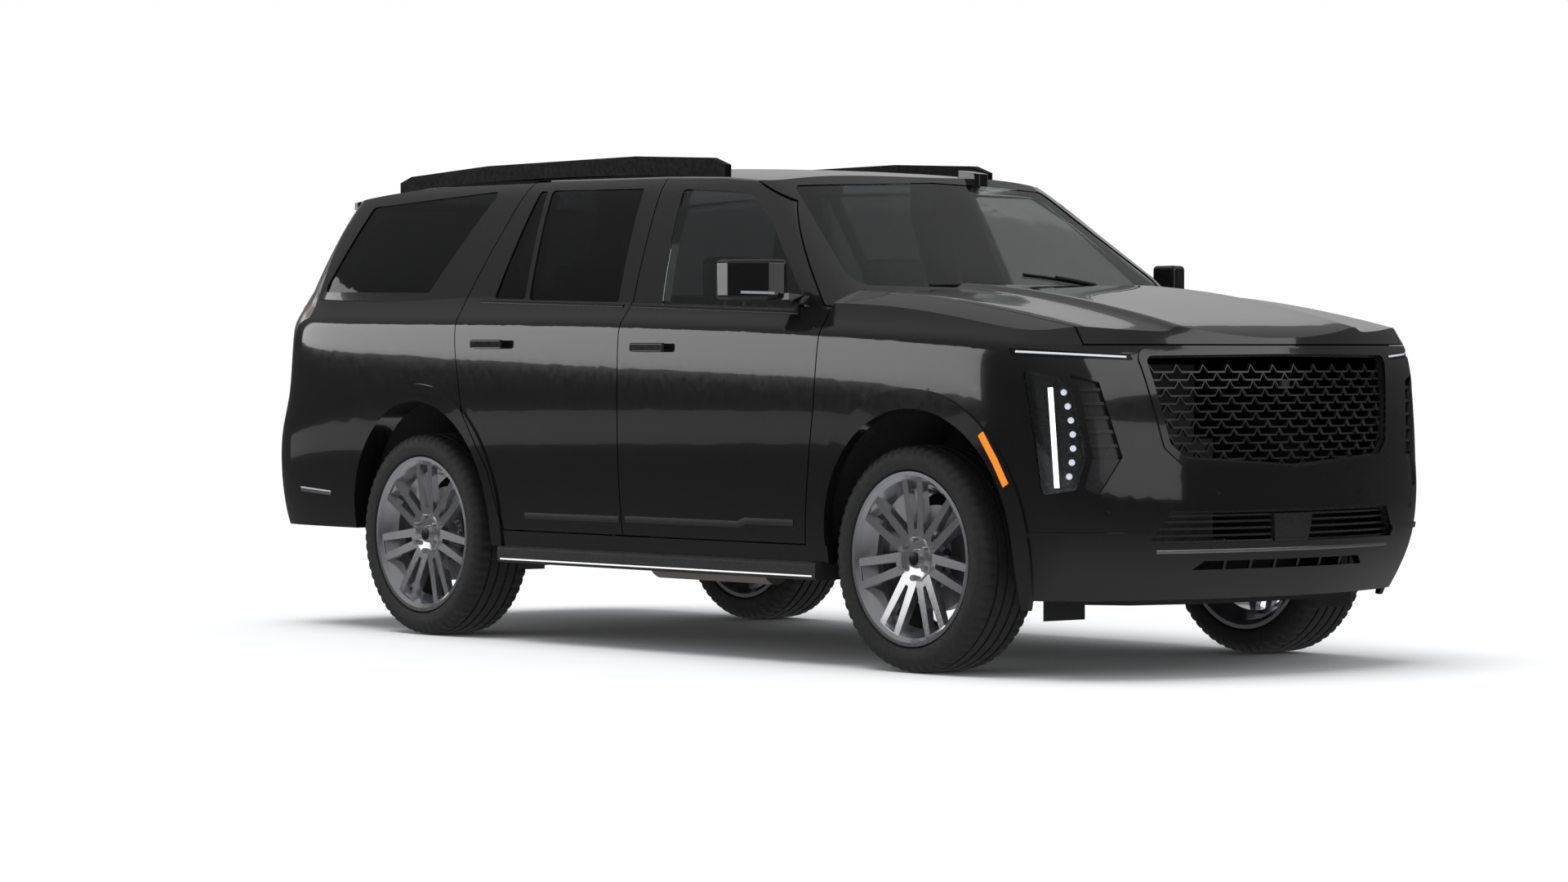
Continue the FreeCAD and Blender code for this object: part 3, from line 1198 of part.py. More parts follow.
SPOKE_COUNT = 7
root_half = size("spoke_root_half")
tip_half = size("spoke_tip_half")
pocket = size("spoke_pocket_half")
spoke_root = 0.060 * unit
spoke_face = -rim_half + size("spoke_face_inset")
spoke_out = bead - wall * 0.6
spoke_side = extruded([
    V(-tip_half, hub_out + 2, spoke_root), V(-tip_half, spoke_face, spoke_out),
    V(-tip_half, spoke_face + 26, spoke_out), V(-tip_half, hub_out + size("spoke_depth"), spoke_root),
], V(2 * tip_half, 0, 0))
spoke_front = extruded([
    V(-root_half, -unit, spoke_root), V(-tip_half, -unit, spoke_out + 5),
    V(tip_half, -unit, spoke_out + 5), V(root_half, -unit, spoke_root),
], V(0, 2 * unit, 0))
spoke_slot = extruded([
    V(-pocket * 0.55, -unit, 0.110 * unit), V(-pocket * 1.9, -unit, spoke_out - 6),
    V(pocket * 1.9, -unit, spoke_out - 6), V(pocket * 0.55, -unit, 0.110 * unit),
], V(0, 2 * unit, 0))
spoke = spoke_side.common(spoke_front).cut(spoke_slot)
spokes = []
for index in range(SPOKE_COUNT):
    turned = spoke.copy()
    turned.rotate(V(0, 0, 0), Y_AXIS, 360 * index / SPOKE_COUNT)
    spokes.append(turned)
bore_depth = size("hub_bore_depth")
bore = post(size("hub_bore_radius"), V(0, hub_in - bore_depth, 0), Y_AXIS, 10 * bore_depth)
wheel = rim.fuse([hub, cap, disc] + spokes).cut(bore)

# Half of the tyre's section, from the bead round the outside to the crown, then the inside from
# the bead to the tread, as expressions on the sheet for the distance out and the radius.
LIP = "(sizes.rim_width / 2 - sizes.rim_flange - sizes.tyre_seat_gap)"
HALF = "sizes.tyre_width / 2"
MIDDLE = "(sizes.rim_radius + sizes.tyre_radius) / 2"
TYRE_OUTSIDE = [
    (LIP, "sizes.bead_radius + sizes.tyre_seat_gap"),
    (LIP, "sizes.rim_radius + sizes.tyre_seat_gap + sizes.tyre_rim_clearance"),
    (HALF + " - sizes.tyre_bulge", "sizes.rim_radius + sizes.tyre_rim_cover"),
    (HALF, MIDDLE),
    (HALF + " - sizes.tyre_bulge", "sizes.tyre_radius - sizes.tyre_shoulder"),
    (HALF + " - sizes.tyre_shoulder", "sizes.tyre_radius - sizes.tyre_crown_drop"),
    (HALF + " - 2.5 * sizes.tyre_shoulder", "sizes.tyre_radius"),
]
TYRE_INSIDE = [
    (LIP + " - sizes.tyre_bead_width", "sizes.bead_radius + sizes.tyre_seat_gap"),
    (LIP + " - sizes.tyre_bead_width", "sizes.rim_radius + sizes.tyre_bulge"),
    (HALF + " - sizes.tyre_wall", MIDDLE),
    (HALF + " - sizes.tyre_shoulder", "sizes.tyre_radius - sizes.tyre_tread_depth"),
]


def negative(points):
    return [(f"-({out})", radius) for out, radius in points]


def profile_sketch(body, corners):
    """A closed sketch whose corners are bound to the sheet, on the body's own YZ plane."""
    sketch = body.newObject("Sketcher::SketchObject", body.Name + "_section")
    plane = next(item for item in body.Origin.OriginFeatures if item.Role == "YZ_Plane")
    sketch.AttachmentSupport = (plane, [""])
    sketch.MapMode = "FlatFace"
    count = len(corners)
    start = [V(sheet.evalExpression(out), sheet.evalExpression(radius), 0) for out, radius in corners]
    for index in range(count):
        sketch.addGeometry(Part.LineSegment(start[index], start[(index + 1) % count]))
    for index in range(count):
        sketch.addConstraint(Sketcher.Constraint("Coincident", index, 2, (index + 1) % count, 1))
    for index, (out, radius) in enumerate(corners):
        across = sketch.addConstraint(Sketcher.Constraint("DistanceX", -1, 1, index, 1, start[index].x))
        sketch.setExpression(f"Constraints[{across}]", out)
        height = sketch.addConstraint(Sketcher.Constraint("DistanceY", -1, 1, index, 1, start[index].y))
        sketch.setExpression(f"Constraints[{height}]", radius)
    return sketch


def tyre_body(label, x, y, turn):
    """One tyre as a body: its section revolved about the axle."""
    body = doc.addObject("PartDesign::Body", label)
    body.Label = label
    corners = negative(TYRE_OUTSIDE) + TYRE_OUTSIDE[::-1] + TYRE_INSIDE + negative(TYRE_INSIDE)[::-1]
    sketch = profile_sketch(body, corners)
    revolution = body.newObject("PartDesign::Revolution", label + "_ring")
    revolution.Profile = sketch
    revolution.ReferenceAxis = (sketch, ["H_Axis"])
    revolution.Angle = 360
    body.Placement = FreeCAD.Placement(V(x, y, tyre_radius), FreeCAD.Rotation(Z_AXIS, turn))
    pieces[label] = body


for end, x in (("front", front_axle_x), ("rear", rear_axle_x)):
    keep(f"{end}_wheel_right", wheel, V(x, -wheel_y, tyre_radius))
    keep(f"{end}_wheel_left", wheel, V(x, wheel_y, tyre_radius), 180)
    tyre_body(f"{end}_tyre_right", x, -wheel_y, 0)
    tyre_body(f"{end}_tyre_left", x, wheel_y, 180)

# Knuckles, arms and springs

kingpin_y = 0.800 * unit
knuckle_half = 0.030 * unit
ball_low = tyre_radius - 0.130 * unit
ball_high = tyre_radius + 0.115 * unit
spindle_radius = size("hub_bore_radius") - size("running_gap")
spindle_y = -wheel_y + hub_in - 0.8 * bore_depth


def knuckle(x):
    """The right front knuckle: upright, spindle, calliper and steering arm."""
    stud_end = 0.020 * unit
    upright = box(
        x - knuckle_half, x + knuckle_half, -kingpin_y - 0.010 * unit, -kingpin_y + 0.040 * unit,
        ball_low + stud_end, ball_high - stud_end,
    )
    stud = post(0.010 * unit, V(x, -kingpin_y, ball_low), Z_AXIS, ball_high - ball_low)
    spindle = post(spindle_radius, V(x, spindle_y, tyre_radius), Y_AXIS, -kingpin_y - spindle_y)
    arm = box(
        x - 0.150 * unit, x, -kingpin_y + 0.012 * unit, -kingpin_y + 0.040 * unit,
        tyre_radius - 0.060 * unit, tyre_radius - 0.025 * unit,
    )
    bridge = box(
        x, x + 0.130 * unit, -kingpin_y + 0.014 * unit, -kingpin_y + 0.036 * unit,
        tyre_radius - 0.040 * unit, tyre_radius + 0.040 * unit,
    )
    inner = -wheel_y + disc_y
    calliper = box(
        x + 0.105 * unit, x + 0.215 * unit, inner - 0.026 * unit, inner + disc_thickness + 0.050 * unit,
        tyre_radius - 0.080 * unit, tyre_radius + 0.080 * unit,
    )
    reach = post(disc_radius + 0.020 * unit, V(x, inner - 0.1 * unit, tyre_radius), Y_AXIS, 0.3 * unit)
    disc_room = post(
        disc_radius + 0.006 * unit, V(x, inner - 0.006 * unit, tyre_radius), Y_AXIS,
        disc_thickness + 0.012 * unit,
    )
    return upright.fuse([stud, spindle, arm, bridge, calliper.common(reach).cut(disc_room)])


keep_pair("front_knuckle", knuckle(front_axle_x))


def link(x, y, z, x_half, y_inner, thick):
    """A suspension arm from a ball joint inwards to the frame."""
    outline = [(x - thick, -y), (x + thick, -y), (x + x_half, -y_inner), (x - x_half, -y_inner)]
    return prism(outline, "z", z - thick / 2, z + thick / 2)


def corner_links(x):
    """Arms, damper and their brackets at one wheel of the right side."""
    half_arm = 0.015 * unit
    low_z = ball_low - half_arm - size("tyre_seat_gap")
    high_z = ball_high + half_arm + size("tyre_seat_gap")
    ball_y = kingpin_y + 0.008 * unit
    tower_y = rail_y + 0.120 * unit
    low = link(x, ball_y, low_z, 0.060 * unit, rail_y - 0.04 * unit, 2 * half_arm)
    high = link(x, ball_y, high_z, 0.050 * unit, tower_y - 0.04 * unit, 2 * half_arm)
    hanger = box(x - 0.06 * unit, x + 0.06 * unit, -rail_y, -rail_y + 0.06 * unit, low_z, rail_low)
    bracket = box(
        x - 0.05 * unit, x + 0.05 * unit, -tower_y, -rail_y, rail_low + 0.01 * unit, rail_low + 0.10 * unit
    )
    tower = box(
        x - 0.05 * unit, x + 0.05 * unit, -tower_y, -tower_y + 0.06 * unit, rail_low + 0.02 * unit,
        high_z + half_arm,
    )
    damper = post(0.026 * unit, V(x, -tower_y - 0.035 * unit, low_z), Z_AXIS, high_z - low_z)
    return low.fuse([high, hanger, bracket, tower, damper])


keep("front_suspension", both(corner_links(front_axle_x)))
rear_carrier = box(
    rear_axle_x - 0.035 * unit, rear_axle_x + 0.035 * unit, -kingpin_y - 0.010 * unit,
    -kingpin_y + 0.040 * unit, ball_low - 0.003 * unit, ball_high + 0.003 * unit,
)
rear_spindle = post(
    spindle_radius, V(rear_axle_x, spindle_y, tyre_radius), Y_AXIS, -kingpin_y - spindle_y
)
keep("rear_suspension", both(corner_links(rear_axle_x).fuse([rear_carrier, rear_spindle])))

# Steps and roof rails

step = box(-0.820 * unit, 1.180 * unit, -1.020 * unit, -0.870 * unit, 0.322 * unit, 0.388 * unit)
keep("running_boards", both(step.makeFillet(0.012 * unit, long_edges(step))))


def roof_rail():
    """A low rail that follows the roof, closed down to its skin."""
    outline = lengths(ROOF_RAIL_SHARES)
    ends = [(outline[-1][0], 1.80 * unit), (outline[0][0], 1.80 * unit)]
    lifted = under_surface(
        crowned_poles(ROOF_LINE_SHARES, ROOF_CROSS_SHARES, -seat_gap), roof_height / 2
    )
    return prism(outline + ends, "y", -0.712 * unit, -0.680 * unit).cut(lifted)


keep("roof_rails", both(roof_rail()))

# Cabin

# Each row of seats: the cushion's rear edge, the seat's centre line and its half width.
FRONT_SEAT_SHARES = (0.260, 0.430, 0.260)
SECOND_SEAT_SHARES = (-0.600, 0.430, 0.260)
THIRD_SEAT_SHARES = (-1.620, 0.246, 0.232)
CUSHION_ROUND_SHARE = 0.040
HEADREST_ROUND_SHARE = 0.035
BACK_LEAN = -14


def seat_pair(shares):
    """A seat of the right side and its mirror image: cushion, base, leaning back and headrest."""
    rear, centre, half = (share * unit for share in shares)
    low, high = -centre - half, -centre + half
    cushion = box(rear, rear + 0.52 * unit, low, high, 0.70 * unit, 0.86 * unit)
    cushion = cushion.makeFillet(CUSHION_ROUND_SHARE * unit, cushion.Edges)
    edge = CUSHION_ROUND_SHARE * unit
    base = box(rear - 0.15 * unit, rear + 0.45 * unit, low + edge, high - edge, floor_top, 0.72 * unit)
    back = box(rear - 0.20 * unit, rear - 0.03 * unit, low, high, 0.72 * unit, 1.36 * unit)
    back = back.makeFillet(CUSHION_ROUND_SHARE * unit, back.Edges)
    back.rotate(V(rear - 0.1 * unit, 0, 0.80 * unit), Y_AXIS, BACK_LEAN)
    headrest = box(
        rear - 0.34 * unit, rear - 0.22 * unit, -centre - 0.13 * unit, -centre + 0.13 * unit,
        1.38 * unit, 1.56 * unit,
    )
    headrest = headrest.makeFillet(HEADREST_ROUND_SHARE * unit, headrest.Edges)
    stems = []
    for aside in (-0.05 * unit, 0.05 * unit):
        foot = V(rear - 0.275 * unit, -centre + aside, 1.28 * unit)
        stems.append(post(0.008 * unit, foot, Z_AXIS, 0.14 * unit))
    return both(cushion.fuse([base, back, headrest] + stems))


keep("front_seats", seat_pair(FRONT_SEAT_SHARES))
keep("rear_seats", Part.Compound([seat_pair(SECOND_SEAT_SHARES), seat_pair(THIRD_SEAT_SHARES)]))

DASHBOARD_SHARES = [
    (1.090, 0.900), (1.090, 1.330), (0.900, 1.270), (0.760, 1.200), (0.740, 1.060), (0.860, 0.900),
]
column_axis = V(0.95, 0, -0.10)
wheel_axis = V(0.93, 0, -0.36)
driver_y = 0.430 * unit
dashboard = prism(lengths(DASHBOARD_SHARES), "y", -0.800 * unit, 0.800 * unit)
console = box(0.180 * unit, 0.900 * unit, -0.130 * unit, 0.130 * unit, floor_top, 0.960 * unit)
column = post(0.030 * unit, V(0.560 * unit, driver_y, 1.080 * unit), column_axis, 0.300 * unit)
steering_ring = Part.makeTorus(
    0.180 * unit, 0.016 * unit, V(0.570 * unit, driver_y, 1.080 * unit), wheel_axis
)
steering_bar = box(0.560 * unit, 0.585 * unit, 0.260 * unit, 0.600 * unit, 1.060 * unit, 1.100 * unit)
steering_hub = post(0.060 * unit, V(0.545 * unit, driver_y, 1.090 * unit), wheel_axis, 0.04 * unit)
keep("dashboard", dashboard.fuse([console, column, steering_ring, steering_bar, steering_hub]))

# Check every object, then write each piece

doc.recompute()
for item in doc.Objects:
    if "Invalid" in item.State or "Error" in item.State:
        raise ValueError(f"{item.Label} did not compute")
os.makedirs("parts", exist_ok=True)
for label, feature in pieces.items():
    shape = feature.Shape
    if shape.isNull() or not shape.isValid():
        raise ValueError(f"{label} is not a sound shape")
    shape.exportStep(f"parts/{label}.step")
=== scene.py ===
import json
import math
from collections import namedtuple
from functools import partial

import bmesh
import bpy
import numpy as np
from mathutils import Matrix, Quaternion, Vector
from mathutils.bvhtree import BVHTree


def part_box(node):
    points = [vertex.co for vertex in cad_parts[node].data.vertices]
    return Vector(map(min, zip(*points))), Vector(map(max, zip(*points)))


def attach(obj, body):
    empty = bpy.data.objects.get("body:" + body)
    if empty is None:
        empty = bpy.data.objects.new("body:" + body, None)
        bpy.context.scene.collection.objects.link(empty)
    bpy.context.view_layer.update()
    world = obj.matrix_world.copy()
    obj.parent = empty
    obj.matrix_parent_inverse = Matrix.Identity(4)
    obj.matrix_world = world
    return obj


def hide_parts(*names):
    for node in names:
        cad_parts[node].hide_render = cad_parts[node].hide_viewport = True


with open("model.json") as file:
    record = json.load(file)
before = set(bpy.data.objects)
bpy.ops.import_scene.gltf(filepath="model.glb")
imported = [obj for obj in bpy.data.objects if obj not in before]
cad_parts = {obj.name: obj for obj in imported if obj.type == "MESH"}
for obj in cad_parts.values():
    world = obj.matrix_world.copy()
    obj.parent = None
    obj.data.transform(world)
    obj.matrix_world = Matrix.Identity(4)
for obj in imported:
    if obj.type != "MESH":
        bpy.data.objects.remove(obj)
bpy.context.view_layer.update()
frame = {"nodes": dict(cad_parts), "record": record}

# A full-size sport utility vehicle: the finishes of its CAD nodes, and the fine pieces beside them.
# Places are in metres, +X ahead, +Y to the vehicle's left and +Z up from the ground.

nodes = frame["nodes"]
MAIN_BODY = "vehicle_body"


# Materials

# A finish's broad patches of colour are this many times as large as its grain.
BROAD_RATIO = 12
ROUGH_SPREAD_SHARE = 0.25


def shader_tree(name):
    """A new material, its node tree and its shader."""
    material = bpy.data.materials.new(name)
    material.use_nodes = True
    tree = material.node_tree
    shader = tree.nodes["Principled BSDF"]
    return material, tree, shader


def add_node(tree, kind, **inputs):
    """A new node with some of its inputs set."""
    node = tree.nodes.new(kind)
    for name, value in inputs.items():
        node.inputs[name.replace("_", " ")].default_value = value
    return node


def noise(tree, scale, detail):
    """Noise in the object's own space."""
    coordinates = tree.nodes.new("ShaderNodeTexCoord")
    texture = add_node(tree, "ShaderNodeTexNoise", Scale=scale, Detail=detail, Roughness=0.55)
    tree.links.new(coordinates.outputs["Object"], texture.inputs["Vector"])
    return texture.outputs["Fac"]


def ramp(tree, fac, low, high, start=0.3, end=0.7):
    """A value between start and end, spread between low and high."""
    node = tree.nodes.new("ShaderNodeMapRange")
    node.inputs["From Min"].default_value = start
    node.inputs["From Max"].default_value = end
    node.inputs["To Min"].default_value = low
    node.inputs["To Max"].default_value = high
    tree.links.new(fac, node.inputs["Value"])
    return node.outputs["Result"]


def colour_mix(tree, fac, first, second):
    """A mix of two colours."""
    node = tree.nodes.new("ShaderNodeMix")
    node.data_type = "RGBA"
    node.inputs["A"].default_value = (*first, 1)
    node.inputs["B"].default_value = (*second, 1)
    tree.links.new(fac, node.inputs["Factor"])
    return node.outputs["Result"]


def bump(tree, shader, height, strength, distance):
    """Relief on a shader's surface from a height."""
    node = add_node(tree, "ShaderNodeBump", Strength=strength, Distance=distance)
    tree.links.new(height, node.inputs["Height"])
    tree.links.new(node.outputs["Normal"], shader.inputs["Normal"])


def surface(
    name, colour, rough, grain=60.0, bump_scale=220.0, bump_strength=0.05, bump_depth=0.001,
    metal=0.0, coat=0.0, coat_rough=0.03, tint=0.12, specular=0.5, transmission=0.0, ior=1.5,
    glow=None, glow_strength=0.0,
):
    """One finish: colour, gloss and relief all vary a little over the surface."""
    material, tree, shader = shader_tree(name)
    broad = noise(tree, grain / BROAD_RATIO, detail=3)
    fine = noise(tree, grain, detail=5)
    relief = noise(tree, bump_scale, detail=4)
    darker = tuple(c * (1 - tint) for c in colour)
    lighter = tuple(min(1.0, c * (1 + tint)) for c in colour)
    tree.links.new(colour_mix(tree, broad, darker, lighter), shader.inputs["Base Color"])
    uneven = ramp(tree, fine, rough * (1 - ROUGH_SPREAD_SHARE), rough * (1 + ROUGH_SPREAD_SHARE))
    tree.links.new(uneven, shader.inputs["Roughness"])
    bump(tree, shader, relief, bump_strength, bump_depth)
    shader.inputs["Metallic"].default_value = metal
    shader.inputs["Coat Weight"].default_value = coat
    shader.inputs["Coat Roughness"].default_value = coat_rough
    shader.inputs["Specular IOR Level"].default_value = specular
    shader.inputs["Transmission Weight"].default_value = transmission
    shader.inputs["IOR"].default_value = ior
    if glow:
        shader.inputs["Emission Color"].default_value = (*glow, 1)
        shader.inputs["Emission Strength"].default_value = glow_strength
    return material


SIPE_WAVES = 210.0
SIPE_EDGE = 0.72
ZIGZAG_WAVES = 420.0
ZIGZAG_SWING = 0.9
TREAD_STARTS = 0.4
RING_WAVES = 1500.0
RING_SHARE = 0.06
GRAIN_SHARE = 0.25
TREAD_TINT = (0.8, 1.25)


def tread_finish(name, colour):
    """Rubber with fine sipes across the tread and rings on the sidewall, about the wheel's axle."""
    material, tree, shader = shader_tree(name)
    links = tree.links
    coordinates = tree.nodes.new("ShaderNodeTexCoord")
    parts = tree.nodes.new("ShaderNodeSeparateXYZ")
    links.new(coordinates.outputs["Object"], parts.inputs["Vector"])

    def maths(operation, first, second=None):
        """A node of arithmetic on one or two values, each a number or another node's output."""
        node = tree.nodes.new("ShaderNodeMath")
        node.operation = operation
        for slot, value in enumerate((first, second)):
            if value is None:
                continue
            if isinstance(value, (int, float)):
                node.inputs[slot].default_value = value
            else:
                links.new(value, node.inputs[slot])
        return node.outputs["Value"]

    def waves(value, count):
        return maths("SINE", maths("MULTIPLY", value, count))

    def square(value):
        return maths("POWER", maths("ABSOLUTE", value), 2.0)

    x, y, z = (parts.outputs[axis] for axis in "XYZ")
    angle = maths("ARCTAN2", x, z)
    radius = maths("SQRT", maths("ADD", square(x), square(z)))
    zigzag = maths("MULTIPLY", waves(y, ZIGZAG_WAVES), ZIGZAG_SWING)
    sipes = maths("SINE", maths("ADD", maths("MULTIPLY", angle, SIPE_WAVES), zigzag))
    on_tread = maths("GREATER_THAN", radius, TREAD_STARTS)
    cuts = maths("MULTIPLY", maths("GREATER_THAN", sipes, SIPE_EDGE), on_tread)
    rings = maths("MULTIPLY", waves(radius, RING_WAVES), RING_SHARE)
    rubber_grain = maths("MULTIPLY", noise(tree, 260, detail=4), GRAIN_SHARE)
    height = maths("ADD", maths("MULTIPLY", cuts, -1.0), maths("ADD", rings, rubber_grain))
    bump(tree, shader, height, strength=0.7, distance=0.0022)
    darker, lighter = (tuple(c * share for c in colour) for share in TREAD_TINT)
    links.new(colour_mix(tree, noise(tree, 6, detail=3), darker, lighter), shader.inputs["Base Color"])
    links.new(ramp(tree, noise(tree, 50, detail=5), 0.5, 0.75), shader.inputs["Roughness"])
    return material


RUBBER_COLOUR = (0.018, 0.018, 0.0185)

# Finishes of the CAD nodes
PAINT = surface(
    "gloss_black_paint", (0.0052, 0.0052, 0.0058), 0.10, coat=1.0, coat_rough=0.02, grain=30,
    bump_scale=900, bump_strength=0.012, bump_depth=0.0004, tint=0.1,
)
TRIM = surface(
    "black_trim", (0.006, 0.006, 0.0065), 0.30, coat=0.10, coat_rough=0.12, bump_scale=700,
    bump_strength=0.02, bump_depth=0.0004, specular=0.3,
)
PLASTIC = surface(
    "textured_plastic", (0.02, 0.02, 0.021), 0.55, grain=120, bump_scale=900, bump_strength=0.25,
    bump_depth=0.0006,
)
PRIVACY = surface(
    "privacy_glass", (0.07, 0.075, 0.08), 0.02, bump_scale=6, bump_strength=0.004,
    transmission=1.0, ior=1.45, tint=0.05,
)
GLASS = surface(
    "clear_glass", (0.52, 0.55, 0.54), 0.02, bump_scale=6, bump_strength=0.004,
    transmission=1.0, ior=1.45, tint=0.04,
)
LENS = surface(
    "lamp_lens", (0.92, 0.94, 0.95), 0.03, bump_scale=14, bump_strength=0.01,
    transmission=1.0, ior=1.35, tint=0.03,
)
TAIL_LENS = surface(
    "tail_lens", (0.62, 0.60, 0.60), 0.05, bump_scale=14, bump_strength=0.01,
    transmission=0.9, ior=1.35, tint=0.05,
)
WHEEL = surface(
    "polished_wheel", (0.62, 0.62, 0.66), 0.12, metal=0.92, coat=0.6, grain=90, bump_scale=500,
    bump_strength=0.02, bump_depth=0.0003,
)
RUBBER = surface(
    "tyre_rubber", RUBBER_COLOUR, 0.62, grain=40, bump_scale=420, bump_strength=0.22,
    bump_depth=0.0008, tint=0.25,
)
FRAME_STEEL = surface(
    "frame_steel", (0.022, 0.022, 0.023), 0.45, grain=50, bump_scale=260, bump_strength=0.15,
    bump_depth=0.0008,
)
CAST = surface(
    "cast_metal", (0.20, 0.20, 0.205), 0.5, metal=0.9, grain=90, bump_scale=340, bump_strength=0.3,
    bump_depth=0.0012,
)
EXHAUST = surface(
    "exhaust_steel", (0.34, 0.31, 0.28), 0.34, metal=1.0, grain=20, bump_scale=160,
    bump_strength=0.1, bump_depth=0.0008, tint=0.3,
)
LEATHER = surface(
    "seat_leather", (0.035, 0.034, 0.036), 0.48, grain=70, bump_scale=320, bump_strength=0.35,
    bump_depth=0.0012, tint=0.2,
)
RAIL = surface(
    "satin_rail", (0.005, 0.005, 0.0055), 0.42, bump_scale=700, bump_strength=0.02,
    bump_depth=0.0004, specular=0.08,
)
MESH = surface(
    "grille_mesh", (0.030, 0.030, 0.032), 0.28, metal=0.5, coat=0.6, coat_rough=0.08, bump_scale=700,
    bump_strength=0.02, bump_depth=0.0004,
)

# Finishes of the scene's own pieces
TREAD = tread_finish("tyre_tread", RUBBER_COLOUR)
NUT = surface(
    "bright_steel", (0.62, 0.62, 0.63), 0.24, metal=1.0, grain=120, bump_scale=500, bump_strength=0.04,
    bump_depth=0.0003,
)
DISC_STEEL = surface(
    "disc_steel", (0.42, 0.42, 0.43), 0.32, metal=1.0, grain=60, bump_scale=600, bump_strength=0.12,
    bump_depth=0.0003, tint=0.2,
)
# A white strip that glows though it is no lamp: a painted highlight along the running board's step edge.
PAINTED_HIGHLIGHT_LINE = surface(
    "painted_highlight_line", (0.92, 0.92, 0.93), 0.12, grain=90, bump_scale=400, bump_strength=0.02,
    bump_depth=0.0002, glow=(1.0, 1.0, 1.0), glow_strength=0.25,
)
DARK_CHROME = surface(
    "dark_chrome", (0.34, 0.34, 0.36), 0.20, metal=0.9, grain=90, bump_scale=500, bump_strength=0.03,
    bump_depth=0.0003,
)
WHITE_GLOW = surface(
    "white_light", (0.95, 0.96, 0.98), 0.2, bump_scale=300, bump_strength=0.02,
    glow=(0.97, 0.98, 1.0), glow_strength=1.4,
)
BEAD_GLOW = surface(
    "bead_light", (0.80, 0.82, 0.86), 0.12, bump_scale=300, bump_strength=0.03,
    glow=(0.9, 0.93, 1.0), glow_strength=0.45, coat=1.0,
)
SLIM_GLOW = surface(
    "slim_light", (0.70, 0.72, 0.75), 0.15, bump_scale=300, bump_strength=0.03,
    glow=(0.9, 0.93, 1.0), glow_strength=0.16, coat=1.0,
)
AMBER = surface(
    "amber_lens", (0.90, 0.26, 0.02), 0.16, bump_scale=260, bump_strength=0.1, coat=1.0,
    bump_depth=0.0006, glow=(1.0, 0.28, 0.02), glow_strength=0.22,
)
RED = surface(
    "red_lens", (0.42, 0.01, 0.012), 0.14, bump_scale=260, bump_strength=0.1, coat=1.0,
    bump_depth=0.0006,
)
RED_GLOW = surface(
    "red_light", (0.60, 0.02, 0.02), 0.14, bump_scale=260, bump_strength=0.05, coat=1.0,
    glow=(1.0, 0.04, 0.03), glow_strength=0.35,
)
MIRROR = surface(
    "mirror_glass", (0.80, 0.82, 0.84), 0.03, metal=1.0, bump_scale=10, bump_strength=0.003, tint=0.03,
)
CLEAR_GREY = surface(
    "clear_marker", (0.30, 0.31, 0.33), 0.12, bump_scale=240, bump_strength=0.08, coat=1.0,
)
PLATE = surface(
    "plain_plate", (0.72, 0.73, 0.73), 0.4, grain=40, bump_scale=160, bump_strength=0.06,
)

FINISHES = {
    "gloss_black_paint": PAINT, "black_trim": TRIM, "textured_plastic": PLASTIC,
    "privacy_glass": PRIVACY, "clear_glass": GLASS, "lamp_lens": LENS, "tail_lens": TAIL_LENS,
    "polished_wheel": WHEEL, "tyre_rubber": RUBBER, "frame_steel": FRAME_STEEL,
    "cast_metal": CAST, "exhaust_steel": EXHAUST, "seat_leather": LEATHER,
}

# CAD nodes with a finish of their own within their slot.
OWN_FINISHES = {"grilles": MESH, "roof_rails": RAIL}

for entry in frame["record"]["subparts"]:
    piece = nodes[entry["node"]]
    finish = OWN_FINISHES.get(entry["node"], FINISHES[entry["material_slot"]])
    if not piece.data.materials:
        piece.data.materials.append(finish)
    for slot in piece.material_slots:
        slot.material = finish


# Shapes

SIDE = {"right": -1, "left": 1}
FAR = 5.0
SINK = 0.0006
SMOOTH_BELOW = math.radians(38)
# How much of a strip's half width each sloping edge takes, and how far it falls for its width.
BAND_EDGE_SHARE = 0.5
BAND_SLOPE_SHARE = 0.7
# Where a plate's inner ring lies from its middle to its rim, and how much of the dome lifts it.
RING_PLACE_SHARE = 0.86
RING_LIFT_SHARE = 0.5


def add_piece(name, points, faces, finish, body, smooth=False, place=(0, 0, 0)):
    """A mesh piece that rides on a body and takes the finish it is given."""
    mesh = bpy.data.meshes.new(name)
    mesh.from_pydata([tuple(p) for p in points], [], faces)
    form = bmesh.new()
    form.from_mesh(mesh)
    bmesh.ops.recalc_face_normals(form, faces=form.faces)
    form.to_mesh(mesh)
    form.free()
    if smooth:
        mesh.shade_smooth()
        mesh.set_sharp_from_angle(angle=SMOOTH_BELOW)
    piece = bpy.data.objects.new(name, mesh)
    piece.location = place
    bpy.context.scene.collection.objects.link(piece)
    mesh.materials.append(finish)
    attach(piece, body)
    return piece


def add_form(name, form, finish, body):
    """A smooth piece from a bmesh form, which is freed."""
    form.verts.index_update()
    points = [v.co.copy() for v in form.verts]
    faces = [tuple(v.index for v in face.verts) for face in form.faces]
    form.free()
    return add_piece(name, points, faces, finish, body, smooth=True)


def search_tree(*names):
    """The faces of some CAD nodes, ready to be met by a ray."""
    form = bmesh.new()
    for name in names:
        part = nodes[name].data.copy()
        part.transform(nodes[name].matrix_world)
        form.from_mesh(part)
    tree = BVHTree.FromBMesh(form)
    form.free()
    return tree


def meet(tree, start, direction):
    """Where a ray first meets a tree, with the face's normal turned towards the ray's start."""
    point, normal, _, _ = tree.ray_cast(Vector(start), Vector(direction))
    if point is None:
        return None
    if normal.dot(Vector(direction)) > 0:
        normal = -normal
    return point, normal


def meet_all(tree, starts, direction):
    """The places that a row of rays meets, with their normals."""
    found = [meet(tree, start, direction) for start in starts]
    return [spot for spot in found if spot]


# Each view turns pairs of places into rays. hand is 1 for the left side and -1 for the right.


